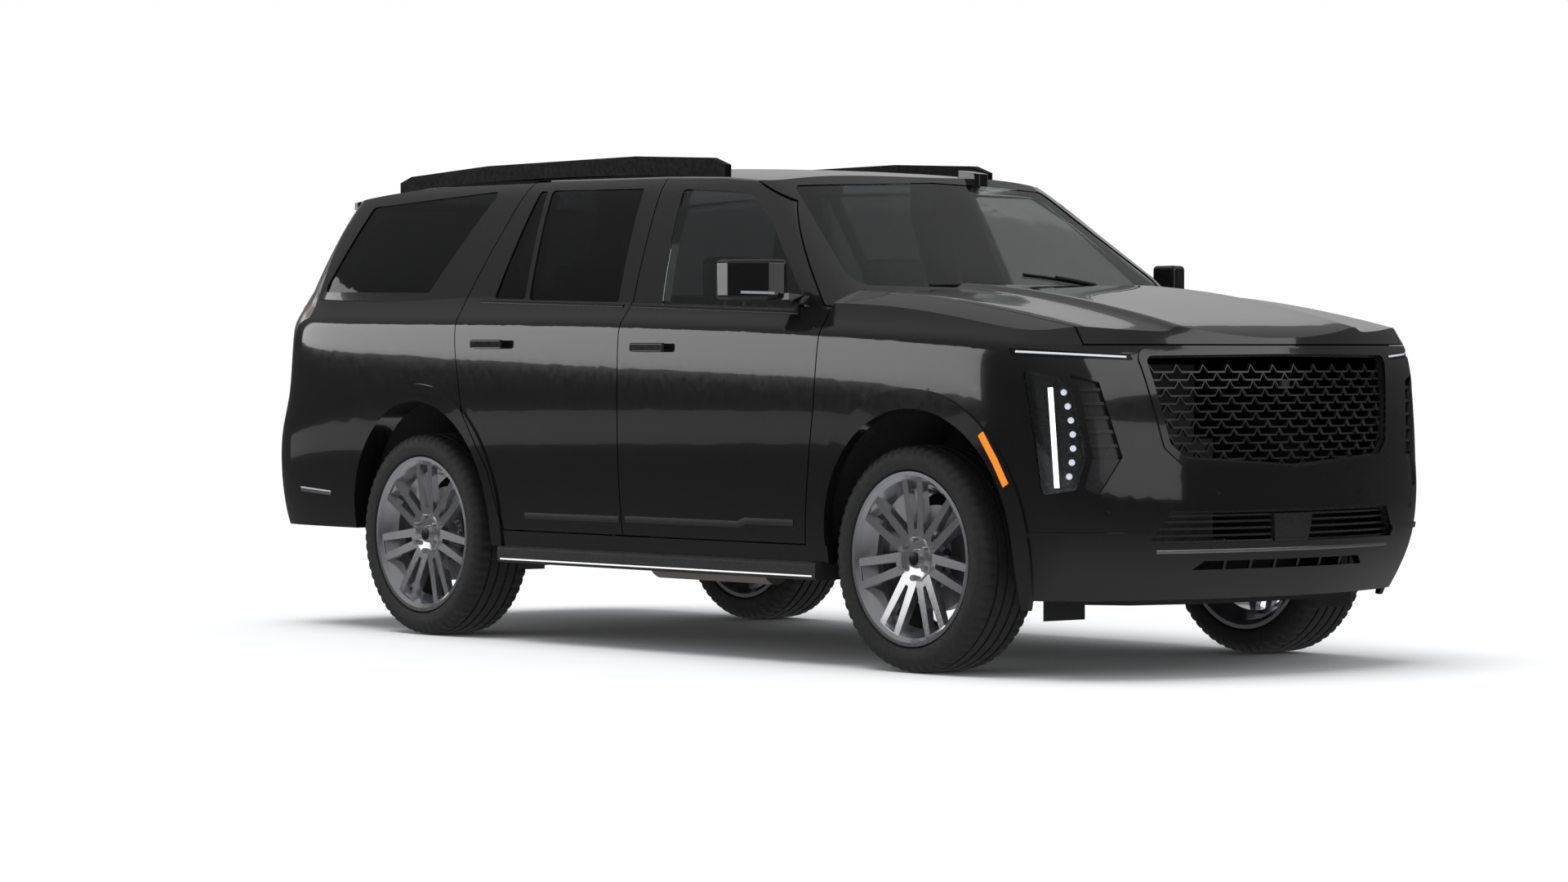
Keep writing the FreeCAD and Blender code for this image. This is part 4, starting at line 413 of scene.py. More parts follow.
def from_side(points, hand):
    return [(x, FAR * hand, z) for x, z in points], (0, -hand, 0)


def from_front(points, hand=1):
    return [(FAR, y * hand, z) for y, z in points], (-1, 0, 0)


def from_back(points, hand=1):
    return [(-FAR, y * hand, z) for y, z in points], (1, 0, 0)


def from_above(points, hand=1):
    return [(x, y * hand, FAR) for x, y in points], (0, 0, -1)


CORNER_AHEAD = 0.766
CORNER_ACROSS = 0.643


def from_corner(points, hand):
    """Rays square to a front corner, from places along the corner's face and their heights."""
    outward = Vector((CORNER_AHEAD, CORNER_ACROSS * hand, 0))
    face = Vector((CORNER_ACROSS, -CORNER_AHEAD * hand, 0))
    return [face * s + outward * FAR + Vector((0, 0, z)) for s, z in points], -outward


def spaced(corners, step):
    """Points along a line of corners, no further apart than step."""
    line = []
    for first, second in zip(corners, corners[1:]):
        first, second = Vector(first), Vector(second)
        count = max(1, math.ceil((second - first).length / step))
        line.extend(tuple(first.lerp(second, i / count)) for i in range(count))
    line.append(tuple(corners[-1]))
    return line


def ring_of(centre, radius, count):
    """Points round a circle in a plane, as pairs."""
    return [
        (centre[0] + radius * math.cos(math.tau * i / count),
         centre[1] + radius * math.sin(math.tau * i / count)) for i in range(count)
    ]


def band(name, spots, width, height, finish, body, sink=SINK):
    """A raised strip along a row of points on a surface."""
    if len(spots) < 2:
        return
    half = width / 2
    edge = min(half * BAND_EDGE_SHARE, height)
    shoulder = height - edge * BAND_SLOPE_SHARE
    section = [
        (-half, -sink), (-half, shoulder), (-half + edge, height), (half - edge, height),
        (half, shoulder), (half, -sink),
    ]
    points = []
    for i, (place, normal) in enumerate(spots):
        ahead = spots[min(i + 1, len(spots) - 1)][0]
        behind = spots[max(i - 1, 0)][0]
        across = (ahead - behind).cross(normal).normalized()
        points.extend(place + across * a + normal * b for a, b in section)
    size = len(section)
    faces = [tuple(range(size)), tuple(range(len(points) - size, len(points)))]
    for i in range(len(spots) - 1):
        for j in range(size):
            k = (j + 1) % size
            faces.append((i * size + j, i * size + k, (i + 1) * size + k, (i + 1) * size + j))
    add_piece(name, points, faces, finish, body, smooth=True)


# A strip's line of corners as one view shows it, the spacing of its points, and its section.
Strip = namedtuple("Strip", "corners step width height")


def lay(name, strip, tree, view, finish, body=MAIN_BODY):
    """Lays a strip on a surface; view turns its points into rays."""
    starts, direction = view(spaced(strip.corners, strip.step))
    band(name, meet_all(tree, starts, direction), strip.width, strip.height, finish, body)


def patch(name, spots, lift, finish, body=MAIN_BODY, dome=0.0):
    """A thin plate with its rim on a surface; dome lifts its middle."""
    if len(spots) < 3:
        return
    centre = sum((place for place, _ in spots), Vector()) / len(spots)
    facing = sum((normal for _, normal in spots), Vector()).normalized()
    count = len(spots)
    low = [place - normal * SINK for place, normal in spots]
    high = [place + normal * lift for place, normal in spots]
    inner = [centre.lerp(p, RING_PLACE_SHARE) + facing * dome * RING_LIFT_SHARE for p in high]
    points = low + high + inner + [centre + facing * (lift + dome)]
    faces = [tuple(range(count))]
    for i in range(count):
        k = (i + 1) % count
        faces.append((i, k, count + k, count + i))
        faces.append((count + i, count + k, 2 * count + k, 2 * count + i))
        faces.append((2 * count + i, 2 * count + k, 3 * count))
    add_piece(name, points, faces, finish, body, smooth=dome > 0)


def block(name, low, high, finish, body, soft):
    """A box with soft edges."""
    form = bmesh.new()
    bmesh.ops.create_cube(form, size=1)
    bmesh.ops.scale(form, vec=Vector(high) - Vector(low), verts=form.verts)
    bmesh.ops.bevel(form, geom=form.edges[:], offset=soft, segments=2, affect="EDGES", profile=0.5)
    bmesh.ops.translate(form, vec=(Vector(high) + Vector(low)) / 2, verts=form.verts)
    add_form(name, form, finish, body)


def turned(name, profile, count, finish, body, place, dents=None):
    """A closed profile of (y, radius) turned about the wheel's axle; dents lowers some points."""
    points = []
    for i in range(count):
        angle = math.tau * i / count
        for j, (y, radius) in enumerate(profile):
            drop = dents(i, j) if dents else 0.0
            points.append((math.cos(angle) * (radius - drop), y, math.sin(angle) * (radius - drop)))
    size = len(profile)
    faces = []
    for i in range(count):
        n = (i + 1) % count
        for j in range(size):
            k = (j + 1) % size
            faces.append((i * size + j, i * size + k, n * size + k, n * size + j))
    return add_piece(name, points, faces, finish, body, smooth=True, place=place)


def rod(name, start, end, radius, finish, body, sides=12):
    """A round rod between two points."""
    start, end = Vector(start), Vector(end)
    axis = (end - start).normalized()
    across = axis.orthogonal().normalized()
    other = axis.cross(across)
    points = []
    for centre in (start, end):
        for i in range(sides):
            angle = math.tau * i / sides
            points.append(centre + (across * math.cos(angle) + other * math.sin(angle)) * radius)
    faces = [tuple(range(sides)), tuple(range(sides, 2 * sides))]
    faces += [(i, (i + 1) % sides, sides + (i + 1) % sides, sides + i) for i in range(sides)]
    add_piece(name, points, faces, finish, body, smooth=True)


# The rays read the CAD nodes' places, which this brings up to date.
bpy.context.view_layer.update()


# Tyres with tread

tyre_low, tyre_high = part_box("front_tyre_right")
TYRE_HALF = (tyre_high[1] - tyre_low[1]) / 2
TYRE_RADIUS = (tyre_high[2] - tyre_low[2]) / 2
BEAD_RADIUS = 0.3035
BEAD_INSET = 0.0238
BEAD_TOP = 0.3236
# The sidewall's points: how far in from the tyre's widest place, and their radius.
WALL_POINTS = ((0.007, 0.331), (0.0022, 0.345), (0.0005, 0.368), (0.0012, 0.374), (0.003, 0.384))
# The shoulder's points: how far in from the widest place, and how far below the tread.
SHOULDER_POINTS = ((0.0062, 0.026), (0.014, 0.012), (0.026, 0.0045), (0.048, 0.0018))
CROWN_DROP = 0.0006
CROWN_CURVE = 0.2
GROOVE_DEPTH = 0.008
GROOVE_HALF = 0.0045
GROOVE_SLOPE = 0.001
GROOVES = (-0.069, -0.024, 0.024, 0.069)
LINER_INSET = 0.046
LINER_FOOT = 0.330
LINER_WIDEST = (0.018, 0.365)
LINER_DROP = 0.022
TREAD_STEPS = 300
LUG_STEPS = 5
NOTCH_STEPS = 2
NOTCH_DEPTH = 0.0055
LUG_DROP = 0.027
LUG_INSET = 0.05


def tyre_profile():
    """The tyre's section from bead to bead, with its four grooves, then back along the inside."""
    flank = [(TYRE_HALF - BEAD_INSET, BEAD_RADIUS), (TYRE_HALF - BEAD_INSET, BEAD_TOP)]
    flank += [(TYRE_HALF - inset, radius) for inset, radius in WALL_POINTS]
    flank += [(TYRE_HALF - inset, TYRE_RADIUS - drop) for inset, drop in SHOULDER_POINTS]
    line = [(-y, r) for y, r in flank]
    for centre in GROOVES:
        crown = TYRE_RADIUS - CROWN_DROP - CROWN_CURVE * centre * centre
        line += [
            (centre - GROOVE_HALF - GROOVE_SLOPE, crown), (centre - GROOVE_HALF, crown - GROOVE_DEPTH),
            (centre + GROOVE_HALF, crown - GROOVE_DEPTH), (centre + GROOVE_HALF + GROOVE_SLOPE, crown),
        ]
    line += reversed(flank)
    inner = TYRE_HALF - LINER_INSET
    widest = (TYRE_HALF - LINER_WIDEST[0], LINER_WIDEST[1])
    liner = [(inner, BEAD_RADIUS), (inner, LINER_FOOT), widest, (inner, TYRE_RADIUS - LINER_DROP)]
    return line + liner + [(-y, r) for y, r in reversed(liner)]


PROFILE = tyre_profile()


def tread_dent(step, index):
    """Notches between the shoulder lugs, half a lug apart on the two shoulders."""
    y, radius = PROFILE[index]
    if radius < TYRE_RADIUS - LUG_DROP or abs(y) < TYRE_HALF - LUG_INSET:
        return 0.0
    shifted = step + (LUG_STEPS // 2 if y > 0 else 0)
    return NOTCH_DEPTH if shifted % LUG_STEPS < NOTCH_STEPS else 0.0


# Wheel fittings

NUTS = 6
NUT_RING = 0.070
NUT_RADIUS = 0.0115
NUT_LENGTH = 0.018
NUT_SINK = 0.0005
NUT_SIDES = 6
DISC_PROBE_RADIUS = 0.165
DISC_PROBES = 84
DISC_STEPS = 96
DISC_INNER = 0.110
DISC_OUTER = 0.192
DISC_BACK = 0.0002
DISC_FRONT = 0.0014
CAP_RADIUS = 0.026
CAP_SIDES = 28
CAP_LIFT = 0.0012
CAP_DOME = 0.003
HUB_ASIDE = 0.001


def add_nuts(tag, wheel, centre, hand, body):
    """Wheel nuts on a ring, each standing on the wheel's face."""
    for nut in range(NUTS):
        angle = math.tau * (nut + 0.5) / NUTS
        x = centre.x + NUT_RING * math.cos(angle)
        z = centre.z + NUT_RING * math.sin(angle)
        spot = meet(wheel, (x, FAR * hand, z), (0, -hand, 0))
        if not spot:
            continue
        foot = spot[0] - Vector((0, hand * NUT_SINK, 0))
        tip = spot[0] + Vector((0, hand * NUT_LENGTH, 0))
        rod(f"lug_nut_{tag}_{nut}", foot, tip, NUT_RADIUS, NUT, body, NUT_SIDES)


def add_disc_face(tag, wheel, centre, hand, body):
    """A bright ring on the brake disc, which rays between the spokes find."""
    places = [(centre.x + a, centre.z + b) for a, b in ring_of((0, 0), DISC_PROBE_RADIUS, DISC_PROBES)]
    hits = meet_all(wheel, *from_side(places, hand))
    disc_y = min(abs(spot[0].y) for spot in hits) - abs(centre.y)
    back = hand * (disc_y + DISC_BACK)
    front = hand * (disc_y + DISC_FRONT)
    section = [(back, DISC_INNER), (front, DISC_INNER), (front, DISC_OUTER), (back, DISC_OUTER)]
    turned(f"disc_face_{tag}", section, DISC_STEPS, DISC_STEEL, body, centre)


def add_wheel_cap(tag, wheel, centre, hand, body):
    """A plain domed cap on the hub."""
    spot = meet(wheel, (centre.x, FAR * hand, centre.z + HUB_ASIDE), (0, -hand, 0))
    if spot:
        ring = ring_of((0, 0), CAP_RADIUS, CAP_SIDES)
        rim = [(spot[0] + Vector((a, 0, b)), spot[1]) for a, b in ring]
        patch(f"wheel_cap_{tag}", rim, CAP_LIFT, TRIM, body, CAP_DOME)


for end in ("front", "rear"):
    for side, hand in SIDE.items():
        tag = f"{end}_{side}"
        body = f"{end}_wheel_{side}_body"
        low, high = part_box(f"{end}_tyre_{side}")
        centre = (Vector(low) + Vector(high)) / 2
        tyre = turned(f"tread_{tag}", PROFILE, TREAD_STEPS, TREAD, body, centre, tread_dent)
        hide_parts(f"{end}_tyre_{side}")
        wheel = search_tree(f"{end}_wheel_{side}")
        add_nuts(tag, wheel, centre, hand, body)
        add_disc_face(tag, wheel, centre, hand, body)
        add_wheel_cap(tag, wheel, centre, hand, body)


# Front lamps

LAMP_BAR = Strip([(0.835, 0.694), (0.812, 1.052)], step=0.02, width=0.019, height=0.0025)
SLIM_LIGHT = Strip([(0.690, 1.181), (1.086, 1.1618)], step=0.02, width=0.008, height=0.0015)
BEADS = 7
BEAD_LOW = 0.735
BEAD_PITCH = 0.050
BEAD_COLUMN = 0.852
BEAD_BOW = 0.040
BOW_LOW = 0.640
BOW_HEIGHT = 0.420
BEAD_SIZE = 0.0115
BEAD_SIDES = 16
BEAD_LIFT = 0.001
BEAD_DOME = 0.004

lamps = search_tree("headlamps")
for side, hand in SIDE.items():
    corner = partial(from_corner, hand=hand)
    lay(f"lamp_bar_{side}", LAMP_BAR, lamps, corner, WHITE_GLOW)
    for bead in range(BEADS):
        z = BEAD_LOW + bead * BEAD_PITCH
        s = BEAD_COLUMN + BEAD_BOW * math.sin(math.pi * (z - BOW_LOW) / BOW_HEIGHT)
        spots = meet_all(lamps, *corner(ring_of((s, z), BEAD_SIZE, BEAD_SIDES)))
        patch(f"lamp_bead_{side}_{bead}", spots, BEAD_LIFT, BEAD_GLOW, dome=BEAD_DOME)
    lay(f"slim_light_{side}", SLIM_LIGHT, lamps, corner, SLIM_GLOW)


# Markers, bright lines and sensors of the bumpers and fenders

SIDE_MARKER = Strip([(2.100, 0.884), (2.165, 0.790), (2.215, 0.700)], step=0.02, width=0.030, height=0.005)
REAR_LINE = Strip([(-2.05, 0.575), (-2.30, 0.588)], step=0.04, width=0.020, height=0.003)
INTAKE_LINE = Strip([(-0.600, 0.462), (0.600, 0.462)], step=0.05, width=0.013, height=0.003)
FRONT_SENSORS = ((0.365, 0.665), (0.790, 0.600))
REAR_SENSORS = ((0.36, 0.640), (0.76, 0.640))
SENSOR_RADIUS = 0.011
SENSOR_SIDES = 18
SENSOR_LIFT = 0.0012
SENSOR_DOME = 0.001

outer_skin = search_tree("front_fenders", "front_bumper", "side_frames", "rear_bumper")


def add_sensor(name, place, view, hand):
    """A round parking sensor on a bumper."""
    y, z = place
    ring = ring_of((hand * y, z), SENSOR_RADIUS, SENSOR_SIDES)
    patch(name, meet_all(outer_skin, *view(ring)), SENSOR_LIFT, TRIM, dome=SENSOR_DOME)


for side, hand in SIDE.items():
    beside = partial(from_side, hand=hand)
    lay(f"side_marker_{side}", SIDE_MARKER, outer_skin, beside, AMBER)
    lay(f"rear_bumper_line_{side}", REAR_LINE, outer_skin, beside, DARK_CHROME)
lay("intake_line", INTAKE_LINE, outer_skin, from_front, DARK_CHROME)
for index, (front_place, rear_place) in enumerate(zip(FRONT_SENSORS, REAR_SENSORS)):
    for side, hand in SIDE.items():
        add_sensor(f"front_sensor_{index}_{side}", front_place, from_front, hand)
        add_sensor(f"rear_sensor_{index}_{side}", rear_place, from_back, hand)


# Tail lamps and reflectors

TAIL_STRIPES = (0.862, 0.880)
TAIL_LEAN = 0.012
TAIL_LOW = 1.00
TAIL_HIGH = 1.38
TAIL_FOOT = Strip([(0.870, 0.972), (0.870, 0.992)], step=0.01, width=0.050, height=0.002)
REFLECTOR = Strip([(0.62, 0.560), (0.80, 0.560)], step=0.03, width=0.024, height=0.003)

tail = search_tree("tail_lamps")
for side, hand in SIDE.items():
    behind = partial(from_back, hand=hand)
    for index, y in enumerate(TAIL_STRIPES):
        stripe = Strip([(y, TAIL_LOW), (y - TAIL_LEAN, TAIL_HIGH)], step=0.03, width=0.007, height=0.002)
        lay(f"tail_light_{side}_{index}", stripe, tail, behind, RED_GLOW)
    lay(f"tail_foot_{side}", TAIL_FOOT, tail, behind, RED)
    lay(f"rear_reflector_{side}", REFLECTOR, outer_skin, behind, RED)


# Doors, mirrors and running boards

BELT = ((-1.84, 1.416), (-0.71, 1.386), (0.24, 1.363), (1.107, 1.335))
BELT_DROP = 0.010
HANDLE_REACH = 0.110
HANDLE_LINE_RISE = 0.006
DOORS = {
    "front_door": {
        "belt": (0.010, 1.040), "handle": (0.199, 1.176),
        "moulding": [(0.020, 0.520), (0.720, 0.520), (0.765, 0.534), (1.050, 0.534)],
    },
    "rear_door": {
        "belt": (-1.000, -0.040), "handle": (-0.855, 1.188),
        "moulding": [(-0.640, 0.516), (-0.020, 0.518)],
    },
}
STEP_LINE = Strip([(-0.800, 0.337), (1.160, 0.337)], step=0.1, width=0.006, height=0.0012)
STEP_MAT = Strip([(-0.780, 0.985), (1.140, 0.985)], step=0.1, width=0.050, height=0.0015)
MIRROR_OUTLINE = (
    (1.045, 1.405), (1.160, 1.405), (1.172, 1.450), (1.160, 1.500), (1.060, 1.505), (1.040, 1.460),
)
MIRROR_LIFT = 0.0012
REPEATER = Strip([(1.075, 1.400), (1.165, 1.404)], step=0.01, width=0.010, height=0.002)


def belt_place(x):
    """A place just below the windows' lower edge, from the side."""
    edge = np.interp(x, [a for a, _ in BELT], [b for _, b in BELT])
    return x, float(edge) - BELT_DROP


def trim_door(door, side, hand):
    """A door's strip under the window, the bright line on its handle and its lower moulding."""
    body = f"{door}_{side}_body"
    skin = search_tree(f"{door}_{side}")
    beside = partial(from_side, hand=hand)
    marks = DOORS[door]
    belt = Strip([belt_place(x) for x in marks["belt"]], step=0.05, width=0.016, height=0.004)
    lay(f"belt_trim_{door}_{side}", belt, skin, beside, TRIM, body)
    x, z = marks["handle"]
    z += HANDLE_LINE_RISE
    handle = Strip([(x - HANDLE_REACH, z), (x + HANDLE_REACH, z)], step=0.04, width=0.007, height=0.0015)
    lay(f"handle_line_{door}_{side}", handle, skin, beside, DARK_CHROME, body)
    moulding = Strip(marks["moulding"], step=0.04, width=0.026, height=0.003)
    lay(f"door_moulding_{door}_{side}", moulding, skin, beside, PLASTIC, body)


for side, hand in SIDE.items():
    for door in DOORS:
        trim_door(door, side, hand)
    step = search_tree("running_boards")
    # The step line glows: a painted highlight along the running board's edge.
    lay(f"step_line_{side}", STEP_LINE, step, partial(from_side, hand=hand), PAINTED_HIGHLIGHT_LINE)
    lay(f"step_mat_{side}", STEP_MAT, step, partial(from_above, hand=hand), PLASTIC)
    mirror = search_tree(f"mirror_{side}")
    mirror_body = f"front_door_{side}_body"
    spots = meet_all(mirror, *from_back(MIRROR_OUTLINE, hand))
    patch(f"mirror_glass_{side}", spots, MIRROR_LIFT, MIRROR, mirror_body)
    ahead = partial(from_front, hand=hand)
    lay(f"mirror_repeater_{side}", REPEATER, mirror, ahead, CLEAR_GREY, mirror_body)


# Windscreen wipers

WIPERS = (((1.330, 0.62), (1.245, -0.02)), ((1.330, -0.10), (1.225, -0.70)))
WIPER_STEP = 0.04
BLADE_WIDTH = 0.012
BLADE_HEIGHT = 0.010
ARM_WIDTH = 0.018
ARM_HEIGHT = 0.007
WIPER_SINK = 0.0002

glass = search_tree("windscreen")
for index, wiper in enumerate(WIPERS):
    spots = meet_all(glass, *from_above(spaced(wiper, WIPER_STEP)))
    band(f"wiper_blade_{index}", spots, BLADE_WIDTH, BLADE_HEIGHT, TRIM, MAIN_BODY, WIPER_SINK)
    # The arm lies on the first two thirds of the blade.
    under_arm = spots[:-len(spots) // 3]
    raised = [(place + normal * BLADE_HEIGHT, normal) for place, normal in under_arm]
    band(f"wiper_arm_{index}", raised, ARM_WIDTH, ARM_HEIGHT, TRIM, MAIN_BODY, WIPER_SINK)


# Tailgate fittings, and the camera in the grille

PLATE_HALF = 0.1525
PLATE_LOW = 1.010
PLATE_HIGH = 1.162
PLATE_OUTLINE = (
    (-PLATE_HALF, PLATE_LOW), (PLATE_HALF, PLATE_LOW), (PLATE_HALF, PLATE_HIGH), (-PLATE_HALF, PLATE_HIGH),
)
PLATE_LIFT = 0.002
GATE_BODY = "tailgate_body"
GATE_HANDLE = Strip([(-0.300, 1.215), (0.300, 1.215)], step=0.04, width=0.040, height=0.010)
GATE_MOULDING = Strip([(-0.560, 0.960), (0.560, 0.960)], step=0.05, width=0.014, height=0.003)
CAMERA_LOW = (2.600, -0.022, 1.044)
CAMERA_HIGH = (2.634, 0.022, 1.080)
CAMERA_SOFT = 0.006

gate = search_tree("tailgate")
patch("rear_plate", meet_all(gate, *from_back(PLATE_OUTLINE)), PLATE_LIFT, PLATE, GATE_BODY)
lay("tailgate_handle", GATE_HANDLE, gate, from_back, TRIM, GATE_BODY)
lay("tailgate_moulding", GATE_MOULDING, gate, from_back, DARK_CHROME, GATE_BODY)
block("grille_camera", CAMERA_LOW, CAMERA_HIGH, PLASTIC, MAIN_BODY, CAMERA_SOFT)


# Seats

# Each row: its place along X, how far its seats lie from the middle, and half a seat's width.
SEAT_ROWS = {
    "front_seats": [(0.260, 0.430, 0.260)],
    "rear_seats": [(-0.600, 0.430, 0.260), (-1.620, 0.246, 0.232)],
}
# The lowest and highest corner of a seat's pieces, ahead of the row's place and above the ground.
PAD = ((0.0, 0.715), (0.52, 0.860))
BACK = ((-0.20, 0.74), (-0.03, 1.36))
HEADREST = ((-0.34, 1.38), (-0.22, 1.56))
BASE_BACK = -0.15
BASE_FRONT = 0.45
BASE_TOP = 0.72
BASE_INSET = 0.04
BASE_SOFT = 0.012
HEADREST_HALF = 0.13
ROD_X = -0.275
ROD_LOW = 1.28
ROD_HIGH = 1.42
ROD_ASIDE = 0.05
ROD_RADIUS = 0.007
SEAT_LEAN = math.radians(-14)
LEAN_PIVOT = (-0.1, 0.80)
PAD_CHANNELS = (-0.45, 0.45)
BACK_CHANNELS = (-0.5, 0.5)
CHANNEL_DEPTH = 0.05
CHANNEL_WIDTH = 0.045
CUTS = 13
ROUNDNESS = 7
RIM_THICKNESS_SHARE = 0.86
PULLED_SIDE_SHARE = 0.985
# Channels are sewn into the two broad faces, which lie beyond this share of the half thickness.
FACE_FROM = 0.5
UP = 2
FORWARD = 0


def cushion(name, corners, thick_axis, channels=(), lean=0.0, pivot=None):
    """A crowned, closed pad with pulled-in sides and sewn channels."""
    low, high = (Vector(corner) for corner in corners)
    form = bmesh.new()
    bmesh.ops.create_cube(form, size=2)
    bmesh.ops.subdivide_edges(form, edges=form.edges[:], cuts=CUTS, use_grid_fill=True)
    first, second = (axis for axis in range(3) if axis != thick_axis)
    for v in form.verts:
        p = v.co
        u, w, t = p[first], p[second], p[thick_axis]
        length = sum(abs(share) ** ROUNDNESS for share in p) ** (1 / ROUNDNESS)
        q = p * (1 / length)
        bulge = (1 - u * u) * (1 - w * w)
        q[thick_axis] *= RIM_THICKNESS_SHARE + (1 - RIM_THICKNESS_SHARE) * bulge
        q[first] *= PULLED_SIDE_SHARE + (1 - PULLED_SIDE_SHARE) * w * w
        q[second] *= PULLED_SIDE_SHARE + (1 - PULLED_SIDE_SHARE) * u * u
        if abs(t) > FACE_FROM:
            for spot in channels:
                dip = CHANNEL_DEPTH * math.exp(-((w - spot) / CHANNEL_WIDTH) ** 2)
                q[thick_axis] -= math.copysign(dip, t)
        v.co = q
    bmesh.ops.scale(form, vec=(high - low) / 2, verts=form.verts)
    bmesh.ops.translate(form, vec=(high + low) / 2, verts=form.verts)
    if lean:
        turn = Matrix.Rotation(lean, 3, "Y")
        bmesh.ops.rotate(form, cent=pivot, matrix=turn, verts=form.verts)
    pad = add_form(name, form, LEATHER, MAIN_BODY)
    return pad


def seat_box(x, middle, half, corners):
    """A seat piece's box about the seat's middle line."""
    (low_x, low_z), (high_x, high_z) = corners
    return (x + low_x, middle - half, low_z), (x + high_x, middle + half, high_z)


def add_seat(tag, x, middle, half, floor_z):
    """One seat: pad, backrest, headrest on two rods, and a plain base."""
    pad = cushion(f"cushion_{tag}", seat_box(x, middle, half, PAD), UP, PAD_CHANNELS)
    pivot = Vector((x + LEAN_PIVOT[0], 0, LEAN_PIVOT[1]))
    cushion(f"back_{tag}", seat_box(x, middle, half, BACK), FORWARD, BACK_CHANNELS, SEAT_LEAN, pivot)
    cushion(f"headrest_{tag}", seat_box(x, middle, HEADREST_HALF, HEADREST), FORWARD)
    base = ((BASE_BACK, floor_z), (BASE_FRONT, BASE_TOP))
    low, high = seat_box(x, middle, half - BASE_INSET, base)
    block(f"seat_base_{tag}", low, high, PLASTIC, MAIN_BODY, BASE_SOFT)
    for offset in (-ROD_ASIDE, ROD_ASIDE):
        foot = (x + ROD_X, middle + offset, ROD_LOW)
        top = (x + ROD_X, middle + offset, ROD_HIGH)
        rod(f"headrest_rod_{tag}_{offset > 0}", foot, top, ROD_RADIUS, NUT, MAIN_BODY)
    return pad


for node, rows in SEAT_ROWS.items():
    floor_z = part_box(node)[0][2]
    for row, (x, y, half) in enumerate(rows):
        for side, hand in SIDE.items():
            add_seat(f"{node}_{row}_{side}", x, hand * y, half, floor_z)
    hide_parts(node)


# Studio: floor, backdrop and lights

FLOOR_HALF = 60.0
FLOOR_DROP = 0.0005
FLOOR_COLOUR = (0.86, 0.86, 0.86)
WHITE = (1, 1, 1)
SKY_COLOUR = (0.95, 0.97, 1.0)
SKY_LEVEL = 0.62
THROUGH_LEVEL = 0.30
SHOWN_LEVEL = 1.0
# What gloss reflects: dark near the horizon and paler from there up and down.
GLEAM_LEVELS = (0.05, 0.28)
GLEAM_HEIGHTS = (0.05, 0.75)

floor_mesh = bpy.data.meshes.new("floor")
floor_mesh.from_pydata(
    [(-FLOOR_HALF, -FLOOR_HALF, 0), (FLOOR_HALF, -FLOOR_HALF, 0), (FLOOR_HALF, FLOOR_HALF, 0),
     (-FLOOR_HALF, FLOOR_HALF, 0)], [], [(0, 1, 2, 3)],
)
floor = bpy.data.objects.new("floor", floor_mesh)
floor.location.z = -FLOOR_DROP
floor.visible_glossy = False
bpy.context.scene.collection.objects.link(floor)
floor.data.materials.append(
    surface("studio_floor", FLOOR_COLOUR, 0.9, bump_strength=0.02, tint=0.01, specular=0.0)
)

world = bpy.data.worlds.new("studio")
bpy.context.scene.world = world
world.use_nodes = True
tree = world.node_tree


def backdrop(colour, strength):
    """Plain light from all round, of one strength or of one that a node gives."""
    node = tree.nodes.new("ShaderNodeBackground")
    node.inputs["Color"].default_value = (*colour, 1)
    if isinstance(strength, float):
        node.inputs["Strength"].default_value = strength
    else:
        tree.links.new(strength, node.inputs["Strength"])
    return node.outputs["Background"]


def choose(fac, first, second):
    """The second light for rays of one kind, and the first for the others."""
    node = tree.nodes.new("ShaderNodeMixShader")
    tree.links.new(fac, node.inputs["Fac"])
    tree.links.new(first, node.inputs[1])
    tree.links.new(second, node.inputs[2])
    return node.outputs["Shader"]


around = tree.nodes.new("ShaderNodeTexCoord")
direction = tree.nodes.new("ShaderNodeSeparateXYZ")
tree.links.new(around.outputs["Generated"], direction.inputs["Vector"])
steep = tree.nodes.new("ShaderNodeMath")
steep.operation = "ABSOLUTE"
tree.links.new(direction.outputs["Z"], steep.inputs[0])
gleam = ramp(tree, steep.outputs["Value"], *GLEAM_LEVELS, *GLEAM_HEIGHTS)
path = tree.nodes.new("ShaderNodeLightPath")
room = choose(path.outputs["Is Glossy Ray"], backdrop(SKY_COLOUR, SKY_LEVEL), backdrop(WHITE, gleam))
through = choose(path.outputs["Is Transmission Ray"], room, backdrop(WHITE, THROUGH_LEVEL))
shown = choose(path.outputs["Is Camera Ray"], through, backdrop(WHITE, SHOWN_LEVEL))
tree.links.new(shown, tree.nodes["World Output"].inputs["Surface"])


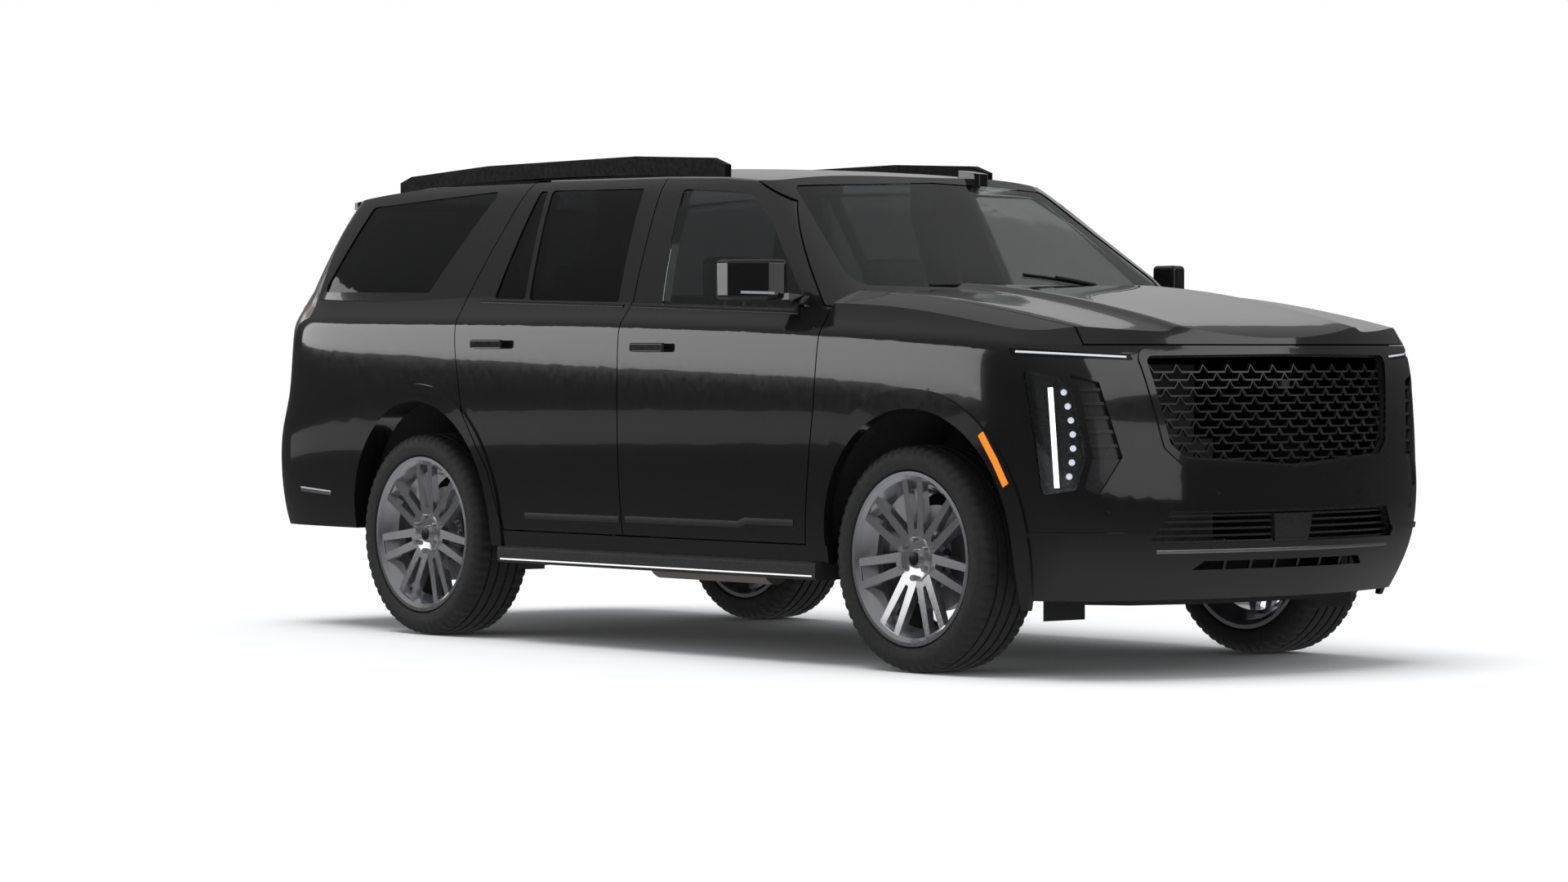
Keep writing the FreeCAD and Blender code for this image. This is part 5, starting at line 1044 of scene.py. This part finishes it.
def softbox(name, place, target, width, height, power, roll=0.0):
    """A rectangular lamp at a place, aimed at a target, that the camera doesn't see."""
    lamp = bpy.data.lights.new(name, "AREA")
    lamp.shape = "RECTANGLE"
    lamp.size, lamp.size_y = width, height
    lamp.energy = power
    holder = bpy.data.objects.new(name, lamp)
    holder.location = place
    holder.rotation_mode = "QUATERNION"
    aim = (Vector(target) - Vector(place)).to_track_quat("-Z", "Y")
    holder.rotation_quaternion = aim @ Quaternion((0, 0, 1), math.radians(roll))
    holder.visible_camera = False
    bpy.context.scene.collection.objects.link(holder)


softbox("side_box", (-10.2, -8.2, 3.20), (-1.0, -1.0, 1.6), width=11.0, height=3.6, power=205, roll=-4.0)
softbox("low_box", (-10.2, -8.2, 0.36), (-1.0, -1.0, 0.36), width=11.0, height=0.6, power=5)
softbox("nose_box", (11.0, 3.0, 5.0), (2.4, 0, 0.8), width=12.0, height=3.5, power=130)
softbox("roof_box", (-14.0, 12.0, 5.8), (0, 0, 1.4), width=18.0, height=7.2, power=125)
softbox("front_box", (14.0, -0.5, 1.7), (2.4, -0.5, 1.0), width=5.0, height=2.4, power=24)

SUN_POWER = 2.0
SUN_SPREAD = math.radians(42)
SUN_TILT = (math.radians(8), math.radians(-6), 0)

sun_data = bpy.data.lights.new("soft_sun", "SUN")
sun_data.energy = SUN_POWER
sun_data.angle = SUN_SPREAD
sun = bpy.data.objects.new("soft_sun", sun_data)
sun.rotation_euler = SUN_TILT
sun.visible_glossy = False
bpy.context.scene.collection.objects.link(sun)


# Camera, fitted to the photograph

CAMERA_PLACE = Vector((14.717, -12.508, 1.189))
CAMERA_YAW = math.radians(140.056)
CAMERA_PITCH = math.radians(-1.11)
PHOTO_WIDTH = 1920
FOCAL_PIXELS = 5803.25
SENSOR_WIDTH = 36.0
CLIP_END = 200

camera_data = bpy.data.cameras.new("camera")
camera_data.sensor_width = SENSOR_WIDTH
camera_data.lens = SENSOR_WIDTH * FOCAL_PIXELS / PHOTO_WIDTH
camera_data.clip_end = CLIP_END
camera = bpy.data.objects.new("camera", camera_data)
camera.location = CAMERA_PLACE
look = Vector((
    math.cos(CAMERA_YAW) * math.cos(CAMERA_PITCH), math.sin(CAMERA_YAW) * math.cos(CAMERA_PITCH),
    math.sin(CAMERA_PITCH),
))
camera.rotation_mode = "QUATERNION"
camera.rotation_quaternion = look.to_track_quat("-Z", "Y")
bpy.context.scene.collection.objects.link(camera)
bpy.context.scene.camera = camera
bpy.context.scene.view_settings.view_transform = "Standard"
